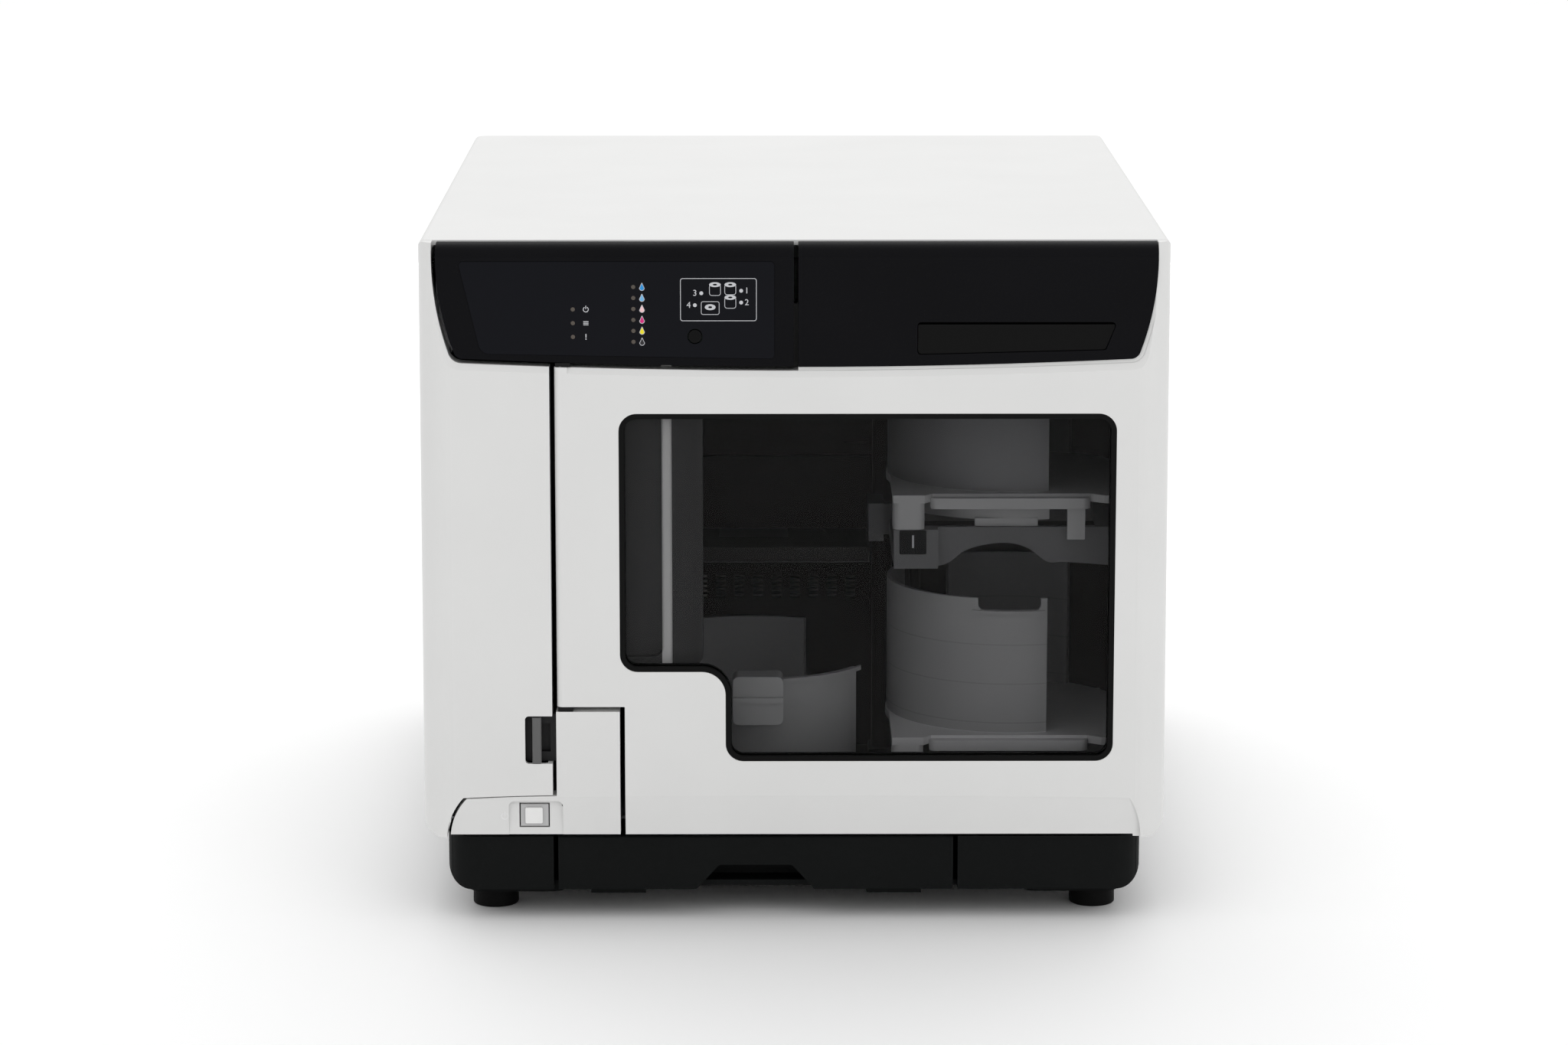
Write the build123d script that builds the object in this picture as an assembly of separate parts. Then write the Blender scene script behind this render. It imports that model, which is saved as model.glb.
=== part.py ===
"""Disc label printer: a cabinet that burns and prints discs by itself.

Millimetres. +Z is up, +X is to the right seen from the front, and -Y points at the user.
The origin is on the floor under the middle of the cabinet.
"""
import os
from math import atan2, cos, degrees, hypot, radians, sin, sqrt

from build123d import *

# ---- cabinet ----
cab_w = 377.0               # over the side covers at their foot
cab_d = 493.0
cab_h = 348.0
side_lean = 0.9             # each side leans in this much on its way up
skin = 2.5                  # wall of the white covers
front_corner_r = 16.0
back_corner_r = 8.0
top_edge_r = 3.0
foot_edge_r = 10.0          # rounded lower edge of the side covers
cover_foot = 45.5           # lower edge of the front covers
leg_foot = 44.3             # lower edge of the side covers and their front corners
clean_cut = 0.004           # the front outline is this much narrower than the plan, so they cross cleanly
seam = 1.0                  # between covers that don't move
swing_gap = 2.5             # round the covers that swing
top_cover_front = 13.5      # the top cover starts this far behind the front
top_skirt = 12.0            # height of the top cover's sides

# ---- black band across the front ----
band_left = 180.5           # its opening reaches this far left of the middle
band_right = 182.5
band_low = 283.9            # lowest point of the opening, at the middle
band_rise = 4.1             # the lower edge climbs this much to its corners
band_side_run = 9.6         # the opening's sides close in this much on their way down
band_side_bow = 1.7         # of which this much by half height
band_corner_r = 7.0
band_sink = 1.1             # the band's face lies this far behind the white face
band_roll_r = 6.5           # rounded upper edge of the band
band_crease = 8.5           # the face starts this far under the cabinet's top
band_wall = 2.5
chamfer_run = 3.4           # bright chamfer of the white covers round the band
chamfer_sink = 1.6
ledge_w = 1.8               # white ledge round the door's half of the band
panel_gap = 2.3             # black gap round the control panel
split_x = 0.7               # the two halves of the band part here
split_gap = 2.3

# ---- door over the disc chamber ----
door_left = -119.9
door_barrel_r = 3.0
hinge_pin_r = 1.5
door_back = 12.5            # depth of the door's returns
door_wrap = 30.0            # the door reaches this far back on the right side
return_w = 2.4
step_x = -85.7              # the door steps round the lower panel here
step_z = 112.4
door_swing_deg = 110.0

# ---- window ----
win_left = -88.0
win_right = 161.0
win_top = 262.4
win_bottom = 84.1
win_step_x = -34.8
win_step_z = 130.4
win_corner_r = 9.0
win_step_r = 12.0
gasket_w = 2.7
pane_t = 2.5
pane_lap = 5.0              # the pane is held this far behind the door's skin

# ---- grip in the door's half of the band ----
grip_left = 61.1
grip_right = 160.6
grip_top = 308.3
grip_low = 292.2
grip_slant = 5.5
grip_gap = 1.2
grip_depth = 9.0

# ---- ink cover ----
ink_right = -122.4
ink_barrel_r = 2.2
ink_pin_r = 1.1
ink_wrap = 34.5             # the ink cover reaches this far back on the left side
ink_groove = 3.8            # groove in the side where the cover's edge turns
chin_z = 66.2               # crease across the front above the foot
chin_sag = 1.6
chin_in = 3.0
chin_left = -169.0
chin_right = 170.0
leg_gap = 1.8

# ---- lower front panel, power key, lock lever ----
panel_upright_left = -120.4
panel_upright_right = -88.3
panel_upright_top = 109.8
key_x = -131.9
key_z = 55.6
key_w = 14.2
key_h = 11.6
key_gap = 0.6
key_travel = 1.5
recess_w = 26.0
recess_d = 1.4
notch_left = -136.2
notch_low = 82.9
notch_top = 107.6
lever_w = 4.6
lever_x = -130.3
lever_travel = 4.0

# ---- control panel ----
overlay_t = 0.5
overlay_sink = 0.3
lamp_r = 1.05
status_lamp_x = -110.3
status_lamp_z = 308.0
status_lamp_pitch = 6.9
ink_lamp_x = -80.2
ink_lamp_top = 326.1
ink_lamp_pitch = 5.5
round_key_x = -49.6
round_key_z = 301.3
round_key_r = 3.4
round_key_travel = 0.8

# ---- base ----
base_half_w = 176.8
base_setback = 6.5          # the base stands this far behind the cabinet's front and back
base_top = 43.3
base_foot = 15.5
base_edge_r = 12.0
base_corner_r = 15.0
base_wall = 3.0
fascia_t = 7.0
base_split_left = -121.4
base_split_right = 82.0
base_split_gap = 2.4
drawer_travel = 122.0
drawer_len = 148.0
pull_x = -19.8
pull_low_w = 62.0
pull_top_w = 37.0
pull_h = 12.8
foot_x = 154.0
foot_in = 33.0              # from the base's front and back to the middle of a foot
foot_r = 11.7
foot_h = 9.5
collar_r = 16.0

# ---- discs, stackers ----
disc_r = 60.0
disc_t = 1.2
disc_play = 0.8
cup_wall = 2.2
cup_h = 70.0
in_x = 112.0                # middle of stackers 1 and 2
in_depth = 96.5             # from the cabinet's front to their middle
out_x = -21.0               # middle of stacker 3, the trays and the drawer's well
stack_plate_t = 4.0
upper_plate_z = 216.5       # upper face of stacker 1's plate
lower_plate_z = 90.8        # upper face of stacker 2's plate
out_plate_z = 53.2
out_front_z = 118.0
out_back_z = 124.6

# ---- chamber ----
floor_z = 50.0              # upper face of the chamber floor
floor_t = 3.0
chamber_in_left = 62.0      # from the chassis wall to the chamber's left wall
chamber_in_right = 5.0
frame_in = 8.5              # the grey inner frame stands this far behind the front
frame_t = 9.0
pillar_right = -46.1
pillar_foot = 131.8
bar_left = -66.6
bar_right = -61.9
beam_z = 296.0
back_wall_in = 182.5

# ---- drives and printer ----
drive_w = 146.0
drive_h = 41.0
drive_d = 170.0
drive_in = 176.5            # from the cabinet's front to the drives
drive_low_z = 211.0
drive_pitch = 42.5
tray_w = 124.0
tray_t = 6.0
printer_tray_z = 152.0
cage_t = 1.2

# ---- arm ----
col_x = 48.0
col_in = 162.5
col_r = 5.5
guide_x = 66.0
guide_in = 171.5
guide_r = 3.0
arm_z = 294.0
arm_t = 7.0
arm_w = 18.0
arm_play = 0.05             # running clearance on shafts
arm_drop = 60.0

# ---- ink bay ----
cart_w = 48.0
cart_d = 104.0
cart_h = 29.0
cart_count = 6
cart_pitch = 33.6
bay_wall = 2.0
bay_low = 72.0

# ---- back ----
fan_r = 38.0
fan_x = 100.0
fan_z = 240.0
fan_d = 20.0
fan_blades = 7
inlet_x = -140.0
inlet_z = 80.0
socket_x = -100.0

# ---- worked out ----
front_y = -cab_d / 2
back_y = cab_d / 2
band_y = front_y + band_sink
band_corner_z = band_low + band_rise
top_front_y = front_y + top_cover_front
split_z = cab_h - top_skirt
key_board_y = front_y + 15.5
door_hinge_x = door_left + door_barrel_r
door_hinge_y = front_y + door_barrel_r
door_back_y = front_y + door_back
band_split_left = split_x - split_gap / 2
band_split_right = split_x + split_gap / 2
base_d = cab_d - 2 * base_setback
foot_front = base_d / 2 - foot_in
in_y = front_y + in_depth
frame_front = cab_d / 2 - frame_in
back_wall_y = front_y + back_wall_in
drive_front_y = front_y + drive_in
col_y = front_y + col_in
guide_y = front_y + guide_in
cup_r = disc_r + disc_play + cup_wall
arm_reach = hypot(in_x - col_x, in_y - col_y)
out_y = col_y - sqrt(arm_reach ** 2 - (col_x - out_x) ** 2)
tray_travel = drive_front_y + disc_r + 5.0 - out_y
chassis_x = cab_w / 2 - 7.5
chassis_t = 1.5
chassis_top = cab_h - 19.0
chamber_left = chamber_in_left - chassis_x
chamber_right = chassis_x - chamber_in_right


def half_width(z):
    """Half width of the leaning cabinet at a height."""
    return cab_w / 2 - side_lean * (z - leg_foot) / (cab_h - leg_foot)


ink_hinge_x = -(half_width(split_z) - ink_barrel_r)
ink_hinge_y = front_y + ink_wrap


# ---- shapes used by several parts ----
def block(x0, x1, y0, y1, z0, z1):
    """Box between two corners."""
    return Pos((x0 + x1) / 2, (y0 + y1) / 2, (z0 + z1) / 2) * Box(x1 - x0, y1 - y0, z1 - z0)


def post(x, y, z0, z1, r):
    """Upright round bar."""
    return Pos(x, y, (z0 + z1) / 2) * Cylinder(r, z1 - z0)


def rod_y(x, z, y0, y1, r):
    """Round bar along the depth."""
    return Pos(x, (y0 + y1) / 2, z) * Rot(90, 0, 0) * Cylinder(r, y1 - y0)


def sheet(x0, x1, z0, z1):
    """Rectangle of the front view."""
    return Pos((x0 + x1) / 2, (z0 + z1) / 2) * Rectangle(x1 - x0, z1 - z0)


def sheet_flat(x0, x1, y0, y1):
    """Rectangle of the top view."""
    return Pos((x0 + x1) / 2, (y0 + y1) / 2) * Rectangle(x1 - x0, y1 - y0)


def front_prism(face, y0, y1):
    """Prism of a front-view outline between two depths."""
    return Pos(0, y1, 0) * extrude(Plane.XZ * face, y1 - y0)


def side_prism(face, x0, x1):
    """Prism of a side-view outline (depth, height) between two places across."""
    return Pos(x0, 0, 0) * extrude(Plane.YZ * face, x1 - x0)


def rounded(face, r, *places):
    """Rounds the corners of an outline that lie at the places, or all of them."""
    corners = face.vertices()
    if places:
        corners = [min(corners, key=lambda c: hypot(c.X - x, c.Y - z)) for x, z in places]
    return fillet(corners, r)


def cabinet_form(inset):
    """The white cabinet as a solid, drawn in by inset on every side."""

    def outline(z):
        face = Rectangle(2 * (half_width(z) - inset), cab_d - 2 * inset)
        face = fillet(face.vertices().group_by(Axis.Y)[0], front_corner_r - inset)
        face = fillet(face.vertices().group_by(Axis.Y)[-1], back_corner_r - inset)
        return Pos(0, 0, z) * face

    low = leg_foot + inset
    high = cab_h - inset
    form = loft([outline(leg_foot - 1), outline(cab_h + 1)], ruled=True)
    wide = half_width(low) - inset - clean_cut
    narrow = half_width(high) - inset - clean_cut
    ends = make_face(Polyline((-wide, low), (wide, low), (narrow, high), (-narrow, high), close=True))
    ends = rounded(ends, foot_edge_r - inset, (-wide, low), (wide, low))
    ends = rounded(ends, max(top_edge_r - inset, 0.5), (-narrow, high), (narrow, high))
    return form & front_prism(ends, front_y - 1, back_y + 1)


def band_opening(shrink=0.0):
    """Opening in the white covers round the black band, seen from the front, drawn in by shrink."""
    over = cab_h + 12
    high_left = (shrink - band_left, cab_h)
    high_right = (band_right - shrink, cab_h)
    low_left = (band_side_run - band_left + shrink, band_corner_z + shrink)
    low_right = (band_right - band_side_run - shrink, band_corner_z + shrink)
    mid_z = (cab_h + band_corner_z) / 2
    left = ThreePointArc(high_left, (band_side_bow - band_left + shrink, mid_z), low_left)
    lower = ThreePointArc(low_left, ((band_right - band_left) / 2, band_low + shrink), low_right)
    right = ThreePointArc(low_right, (band_right - band_side_bow - shrink, mid_z), high_right)
    top = Polyline(high_right, (band_right - shrink, over), (shrink - band_left, over), high_left)
    return rounded(make_face([left, lower, right, top]), band_corner_r - shrink, low_left, low_right)


OPENING = band_opening()
CABINET = cabinet_form(0)
CABINET_INSIDE = cabinet_form(skin)
LEFT_OF_SPLIT = sheet(-cab_w, band_split_left, band_low - 20, cab_h + 20)
RIGHT_OF_SPLIT = sheet(band_split_right, cab_w, band_low - 20, cab_h + 20)


def band_chamfer():
    """What the chamfer round the band takes off the white covers."""
    wide = Pos(0, front_y - 0.2, 0) * (Plane.XZ * band_opening(-chamfer_run))
    narrow = Pos(0, front_y + chamfer_sink, 0) * (Plane.XZ * OPENING)
    return loft([wide, narrow], ruled=True)


def band_profile(wall):
    """Side view of the band's body, drawn in by wall: face, crease and rounded top."""
    face_y = band_y + wall
    roll_y = band_y + 0.9 + wall
    crease_z = cab_h - band_crease
    top_z = cab_h - 0.6 - wall
    roll = band_roll_r - wall
    low_z = band_low - 12
    rear_y = top_front_y - seam
    rise = Polyline((rear_y, low_z), (face_y, low_z), (face_y, crease_z), (roll_y, crease_z + 1.5),
                    (roll_y, top_z - roll))
    turn = RadiusArc((roll_y, top_z - roll), (roll_y + roll, top_z), roll)
    close = Polyline((roll_y + roll, top_z), (rear_y, top_z), (rear_y, low_z))
    return make_face([rise, turn, close])


def band_half(side, shrink):
    """One half of the black band as an open-backed shell with walls round its edge."""
    outer = band_opening(shrink) & side
    inner = band_opening(shrink + band_wall) & side
    solid = side_prism(band_profile(0), -cab_w / 2, cab_w / 2) & front_prism(outer, front_y, top_front_y)
    hollow = side_prism(band_profile(band_wall), -cab_w / 2, cab_w / 2)
    edge = band_wall if side is RIGHT_OF_SPLIT else -band_wall
    hollow &= front_prism(Pos(edge, 0) * side & inner, front_y, top_front_y)
    back = block(-cab_w, cab_w, top_front_y - seam - band_wall - 1, top_front_y, band_low - 20,
                 cab_h - 0.6 - band_wall)
    return solid - hollow - (back & front_prism(Pos(edge, 0) * side & inner, front_y, top_front_y))


def chin_cut():
    """What the backward-sloping foot of the front takes off the covers."""
    low = leg_foot - 2
    top = ThreePointArc((chin_left, chin_z - chin_sag), (0, chin_z), (chin_right, chin_z - chin_sag))
    right = ThreePointArc((chin_right, chin_z - chin_sag), (chin_right + 3.5, chin_z - 9), (chin_right + 5.5, low))
    foot = Line((chin_right + 5.5, low), (chin_left - 5.5, low))
    left = ThreePointArc((chin_left - 5.5, low), (chin_left - 3.5, chin_z - 9), (chin_left, chin_z - chin_sag))
    outline = make_face([top, right, foot, left])
    slope = make_face(Polyline((front_y - 1, chin_z), (front_y, chin_z), (front_y + chin_in, low),
                               (front_y - 1, low), close=True))
    return front_prism(outline, front_y - 1, front_y + 8) & side_prism(slope, -cab_w / 2, cab_w / 2)


CHAMFER = band_chamfer()
CHIN = chin_cut()


# ---- white covers that don't move ----
def top_cover():
    shell = CABINET - CABINET_INSIDE
    shell &= block(-cab_w, cab_w, top_front_y, back_y + 1, split_z + seam / 2, cab_h + 1)
    for y in (-120, 0, 120):
        shell += block(-120, 120, y - 1, y + 1, cab_h - skin - 5, cab_h - skin)
    for x in (-165, 165):
        for y in (-80, 220):
            shell += post(x, y, chassis_top + 0.1, cab_h - 1, 4)
    return shell


def side_cover(left):
    """Side cover with its curled-in foot and its turn round the back corner."""
    shell = CABINET - CABINET_INSIDE
    start = ink_hinge_y + ink_groove if left else front_y + door_wrap + swing_gap
    rear = half_width(leg_foot) - back_corner_r - 8
    keep = block(chassis_x + 0.3, cab_w, start, back_y + 1, leg_foot - 1, split_z - seam / 2)
    keep += block(rear, cab_w, back_y - skin, back_y + 1, leg_foot - 1, split_z - seam / 2)
    cover = shell & keep
    return mirror(cover, Plane.YZ) if left else cover


def rear_cover():
    """Steel back with air slots, the fan's grille and the openings for the sockets."""
    edge = half_width(leg_foot) - back_corner_r - 8 - seam
    plate = sheet(-edge, edge, leg_foot + 2, split_z - seam)
    plate -= Pos(fan_x, fan_z) * (Circle(fan_r - 2) - Circle(7))
    plate += Pos(fan_x, fan_z) * (Rectangle(2 * fan_r, 3) + Rectangle(3, 2 * fan_r))
    for r in (14, 21, 28):
        plate += Pos(fan_x, fan_z) * (Circle(r + 1.2) - Circle(r - 1.2))
    slot = SlotOverall(46, 3.5)
    for i in range(10):
        plate -= Pos(-100, 140 + 12 * i) * slot
        plate -= Pos(-30, 140 + 12 * i) * slot
    plate -= sheet(inlet_x - 14.2, inlet_x + 14.2, inlet_z - 12.2, inlet_z + 12.2)
    plate -= sheet(socket_x - 6.2, socket_x + 6.2, inlet_z - 5.8, inlet_z + 5.8)
    plate -= Pos(socket_x + 40, inlet_z) * Rectangle(7, 3)
    return front_prism(plate, back_y - 2.4, back_y - 1.2)


def power_inlet():
    body = block(inlet_x - 14, inlet_x + 14, back_y - 28, back_y - 1, inlet_z - 12, inlet_z + 12)
    mouth = sheet(inlet_x - 11.5, inlet_x + 11.5, inlet_z - 8, inlet_z + 8)
    mouth = fillet(mouth.vertices().group_by(Axis.Y)[-1], 4)
    body -= front_prism(mouth, back_y - 17, back_y)
    for dx, dz in ((-7, -2), (7, -2), (0, 2.5)):
        body += block(inlet_x + dx - 1, inlet_x + dx + 1, back_y - 17, back_y - 6, inlet_z + dz - 2,
                      inlet_z + dz + 2)
    return body


def data_socket():
    body = block(socket_x - 6, socket_x + 6, back_y - 18, back_y - 1, inlet_z - 5.6, inlet_z + 5.6)
    mouth = fillet(sheet(socket_x - 4.2, socket_x + 4.2, inlet_z - 3.9, inlet_z + 3.9)
                   .vertices().group_by(Axis.Y)[-1], 1.5)
    body -= front_prism(mouth, back_y - 11, back_y)
    return body + block(socket_x - 2.8, socket_x + 2.8, back_y - 11, back_y - 5.6, inlet_z - 1.6, inlet_z + 1.6)


# ---- ink cover ----
def ink_cover():
    """Tall left front cover: face, left corner, bowed edge under the band, turned hinge edge."""
    face = sheet(-cab_w, ink_right, leg_foot - 1, cab_h + 1) - OPENING
    strip = lower_strip(leg_gap)
    face -= strip
    body = front_prism(face, front_y - 1, door_back_y) & CABINET
    hollow = sheet(-cab_w, ink_right - return_w, chin_z + return_w, band_low - return_w)
    body -= front_prism(hollow, front_y + skin, door_back_y + 1) & CABINET_INSIDE
    skirt = (CABINET - CABINET_INSIDE) & block(-cab_w, -chassis_x - 0.3, door_back_y - 0.01, ink_hinge_y,
                                               leg_foot - 1, split_z - seam)
    body = body - block(-cab_w, cab_w, top_front_y - seam, 0, split_z - seam, cab_h + 1) + skirt
    body -= sheet_notch()
    body -= CHAMFER
    low, high = ink_hinge_span()
    barrel = post(ink_hinge_x, ink_hinge_y, low, high, ink_barrel_r)
    body -= block(-cab_w, 0, ink_hinge_y, 0, 0, cab_h)
    body -= block(-cab_w, ink_hinge_x + 4, ink_hinge_y - 6, 0, 0, low)
    body -= block(-cab_w, ink_hinge_x + 4, ink_hinge_y - 6, 0, high, cab_h)
    body += barrel
    return body - post(ink_hinge_x, ink_hinge_y, low - 1, high + 1, ink_pin_r)


def ink_hinge_span():
    """Lower and upper end of the ink cover's hinge edge."""
    return leg_foot + foot_edge_r + 4, split_z - 5.0


def sheet_notch():
    """Notch in the ink cover's right edge, round the lock lever."""
    notch = sheet(notch_left, ink_right + 5, notch_low, notch_top)
    notch = rounded(notch, 2.0, (notch_left, notch_low), (notch_left, notch_top))
    return front_prism(notch, front_y - 1, door_back_y + 1)


def hinge_pins(x, y, low, high, r, reach):
    """Two steel pins, one in each end of a hinged edge."""
    return [post(x, y, low - reach, low + 12, r), post(x, y, high - 12, high + reach, r)]


def ink_cover_pins():
    low, high = ink_hinge_span()
    return hinge_pins(ink_hinge_x, ink_hinge_y, low, high, ink_pin_r, 3.5)


# ---- lower front panel ----
def lower_strip(gap):
    """Front outline of the strip under the ink cover, grown by a gap on its free sides."""
    low = leg_foot - 3
    left = chin_left - gap
    lift = 0.5 if gap else 0.0
    top_z = chin_z - chin_sag + lift
    side = ThreePointArc((left - 5.5, low), (left - 3.2, chin_z - 11), (left + 3, top_z))
    top = ThreePointArc((left + 3, top_z), ((left + ink_right) / 2, chin_z - 0.7 + lift),
                        (ink_right + 3, chin_z - 0.1 + lift))
    rest = Polyline((ink_right + 3, chin_z - 0.1 + lift), (ink_right + 3, low), (left - 5.5, low))
    return make_face([side, top, rest])


def lower_front_panel():
    """Fixed L-shaped panel: the strip with the power key and the upright beside the door."""
    face = lower_strip(0) & sheet(-cab_w, 0, cover_foot, cab_h)
    face += sheet(panel_upright_left, panel_upright_right, cover_foot, panel_upright_top)
    body = front_prism(face, front_y, door_back_y)
    body -= front_prism(sheet(-163, panel_upright_right - return_w, cover_foot + return_w, chin_z - 5.5),
                        front_y + chin_in + skin, door_back_y + 1)
    body -= front_prism(sheet(panel_upright_left + return_w, panel_upright_right - return_w, chin_z - 6,
                              panel_upright_top - return_w), front_y + skin, door_back_y + 1)
    body -= CHIN
    recess = sheet(key_x - recess_w / 2, key_x + recess_w / 2 + 1.5, cover_foot - 1, key_z + key_h / 2 + 2)
    recess = rounded(recess, 3.0, (key_x - recess_w / 2, key_z + key_h / 2 + 2),
                     (key_x + recess_w / 2 + 1.5, key_z + key_h / 2 + 2))
    body -= front_prism(recess, front_y - 1, front_y + chin_in / 2 + recess_d)
    hole = sheet(key_x - key_w / 2 - key_gap, key_x + key_w / 2 + key_gap, key_z - key_h / 2 - key_gap,
                 key_z + key_h / 2 + key_gap)
    body -= front_prism(hole, front_y - 1, door_back_y + 1)
    for x in (key_x - 10.5, key_x + 9.5):
        body += rod_y(x, key_z, front_y + chin_in + skin - 0.5, key_board_y, 1.8)
    return body


def power_key():
    """Square key: a frame-like skirt with a raised cap."""
    face_y = front_y + chin_in / 2 + recess_d - 0.4
    back = face_y + 7
    body = block(key_x - key_w / 2, key_x + key_w / 2, face_y, back, key_z - key_h / 2, key_z + key_h / 2)
    body = fillet(body.faces().sort_by(Axis.Y)[0].edges(), 0.6)
    cap = rounded(sheet(key_x - 4.6, key_x + 4.2, key_z - 4, key_z + 4.2), 0.8)
    body += front_prism(cap, face_y - 1.4, face_y + 1)
    return body - block(key_x - key_w / 2 + 1.5, key_x + key_w / 2 - 1.5, face_y + 2, back + 1,
                        key_z - key_h / 2 + 1.5, key_z + key_h / 2 - 1.5)


def key_switch():
    """Tact switch that stands behind the power key on the lower panel's board."""
    face_y = front_y + chin_in / 2 + recess_d - 0.4
    stem_y = face_y + 2 + key_travel + 0.3
    body = block(key_x - 4, key_x + 4, key_board_y - 4, key_board_y, key_z - 4, key_z + 4)
    body += rod_y(key_x, key_z, stem_y, key_board_y - 4, 1.8)
    return body + block(key_x - 12.5, key_x + 11.5, key_board_y, key_board_y + 1.6, key_z - 7, key_z + 7)


def lever_housing():
    """Dark pocket behind the notch in which the lock lever runs."""
    y0 = front_y + 6.0
    body = block(notch_left - 2, panel_upright_left - 0.4, y0, door_back_y + 3, notch_low + 0.3, notch_top - 0.3)
    body += block(panel_upright_left - 1, panel_upright_left + 20, door_back_y + 0.3, door_back_y + 3,
                  notch_low + 0.3, notch_top - 0.3)
    run = block(lever_x - lever_w / 2 - 0.4, lever_x + lever_w / 2 + lever_travel + 0.4, y0 - 1, y0 + 3.5,
                notch_low + 5, notch_top - 5)
    return body - run


def lock_lever():
    """Bar with a foot that slides sideways in its housing."""
    y0 = front_y + 6.0
    bar = block(lever_x - lever_w / 2, lever_x + lever_w / 2, front_y - 0.5, y0 - 0.3, notch_low + 0.4,
                notch_top - 0.8)
    bar = fillet(bar.edges().filter_by(Axis.Z), 0.9)
    return bar + block(lever_x - 1.6, lever_x + 1.6, y0 - 1, y0 + 3.0, notch_low + 7, notch_top - 7)


# ---- door ----
def door_step(grow):
    """Region that the lower front panel takes out of the door."""
    return sheet(-cab_w, step_x + grow, leg_foot - 5, step_z + grow)


def window_opening(shrink=0.0):
    """Stepped window outline, drawn in by shrink."""
    x0, x1 = win_left + shrink, win_right - shrink
    z0, z1 = win_bottom + shrink, win_top - shrink
    sx, sz = win_step_x + shrink, win_step_z + shrink
    corners = [(x0, sz), (sx, sz), (sx, z0), (x1, z0), (x1, z1), (x0, z1)]
    face = make_face(Polyline(*corners, close=True))
    face = rounded(face, win_step_r + shrink, (sx, sz))
    outer = [corners[i] for i in (0, 2, 3, 4, 5)]
    return rounded(face, win_corner_r - shrink, *outer)


def door_outline():
    """Front view of the door's white frame."""
    face = sheet(door_hinge_x, cab_w, leg_foot - 1, cab_h + 1) - door_step(0)
    face -= sheet(-cab_w, chin_right + 2, 0, cover_foot)
    return face - (OPENING & LEFT_OF_SPLIT) - (OPENING & sheet(band_split_left - 1, band_split_right, 0, cab_h + 30))


def door_frame():
    """White front of the door with its right-hand wrap, window opening and returns."""
    body = front_prism(door_outline(), front_y - 1, door_back_y) & CABINET
    hollow = sheet(door_hinge_x + door_barrel_r, cab_w, step_z + return_w, band_low - return_w)
    body -= front_prism(hollow, front_y + skin, door_back_y + 1) & CABINET_INSIDE
    lower = sheet(step_x + return_w, cab_w, chin_z + return_w, step_z + return_w + 1)
    body -= front_prism(lower, front_y + skin, door_back_y + 1) & CABINET_INSIDE
    foot = sheet(step_x + return_w, cab_w, cover_foot + return_w, chin_z + return_w + 1)
    body -= front_prism(foot, front_y + skin + chin_in, door_back_y + 1) & CABINET_INSIDE
    body -= front_prism(window_opening(), front_y - 1, front_y + skin + 1)
    body -= front_prism(OPENING & RIGHT_OF_SPLIT, front_y - 1, front_y + skin - 0.3)
    inner = band_opening(ledge_w) & RIGHT_OF_SPLIT
    body -= front_prism(inner, front_y, door_back_y + 1)
    body -= CHAMFER
    body -= CHIN
    skirt = (CABINET - CABINET_INSIDE) & block(chassis_x + 0.3, cab_w, door_back_y - 0.01, front_y + door_wrap,
                                               leg_foot - 1, split_z - seam)
    body = body - block(-cab_w, cab_w, top_front_y - seam, 0, split_z - seam, cab_h + 1) + skirt
    low, high = door_hinge_span()
    edge = post(door_hinge_x, door_hinge_y, low, high, door_barrel_r)
    edge += block(door_hinge_x, door_hinge_x + door_barrel_r + 0.5, front_y, door_hinge_y + door_barrel_r, low,
                  high) & front_prism(door_outline(), front_y - 1, 0)
    body += edge
    return body - post(door_hinge_x, door_hinge_y, low - 1, high + 1, hinge_pin_r)


def door_hinge_span():
    """Lower and upper end of the door's hinge edge, under the bowed edge of the band."""
    middle = (band_right - band_left) / 2
    half = (band_right + band_left) / 2 - band_side_run
    return step_z, band_low + band_rise * ((door_hinge_x - middle) / half) ** 2


def door_pins():
    low, high = door_hinge_span()
    return hinge_pins(door_hinge_x, door_hinge_y, low, high, hinge_pin_r, 1.9)


def grip_outline(shrink):
    """Front outline of the grip's recess, with its slanted right end."""
    left = grip_left + shrink
    right = grip_right - shrink
    top = grip_top - shrink
    face = make_face(Polyline((left, grip_low - 0.3 + shrink), (right - grip_slant, grip_low + 2.0 + shrink),
                              (right, top), (left, top), close=True))
    return rounded(face, 1.8)


def door_band():
    """Black right half of the band, with the recess of the grip."""
    body = band_half(RIGHT_OF_SPLIT, ledge_w + 0.15)
    cup = front_prism(offset(grip_outline(0), band_wall), band_y + 0.5, band_y + grip_depth + band_wall)
    cup &= side_prism(band_profile(0), -cab_w / 2, cab_w / 2)
    return body + cup - front_prism(grip_outline(0), front_y - 1, band_y + grip_depth)


def door_grip():
    """Smooth plate in the grip's recess, leaving a finger gap above it."""
    plate = grip_outline(0.35) - sheet(grip_left - 5, grip_right + 5, grip_top - grip_gap, grip_top + 5)
    return front_prism(plate, band_y + 0.6, band_y + grip_depth)


def door_window():
    """Smoked pane, clamped behind the door's skin."""
    y0 = front_y + skin
    return front_prism(window_opening(-pane_lap + 1), y0, y0 + pane_t)


def window_gasket():
    """Black rim that lines the window's edge in front of the pane."""
    ring = window_opening(0.05) - window_opening(gasket_w)
    return front_prism(ring, front_y + 0.35, front_y + skin)


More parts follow.
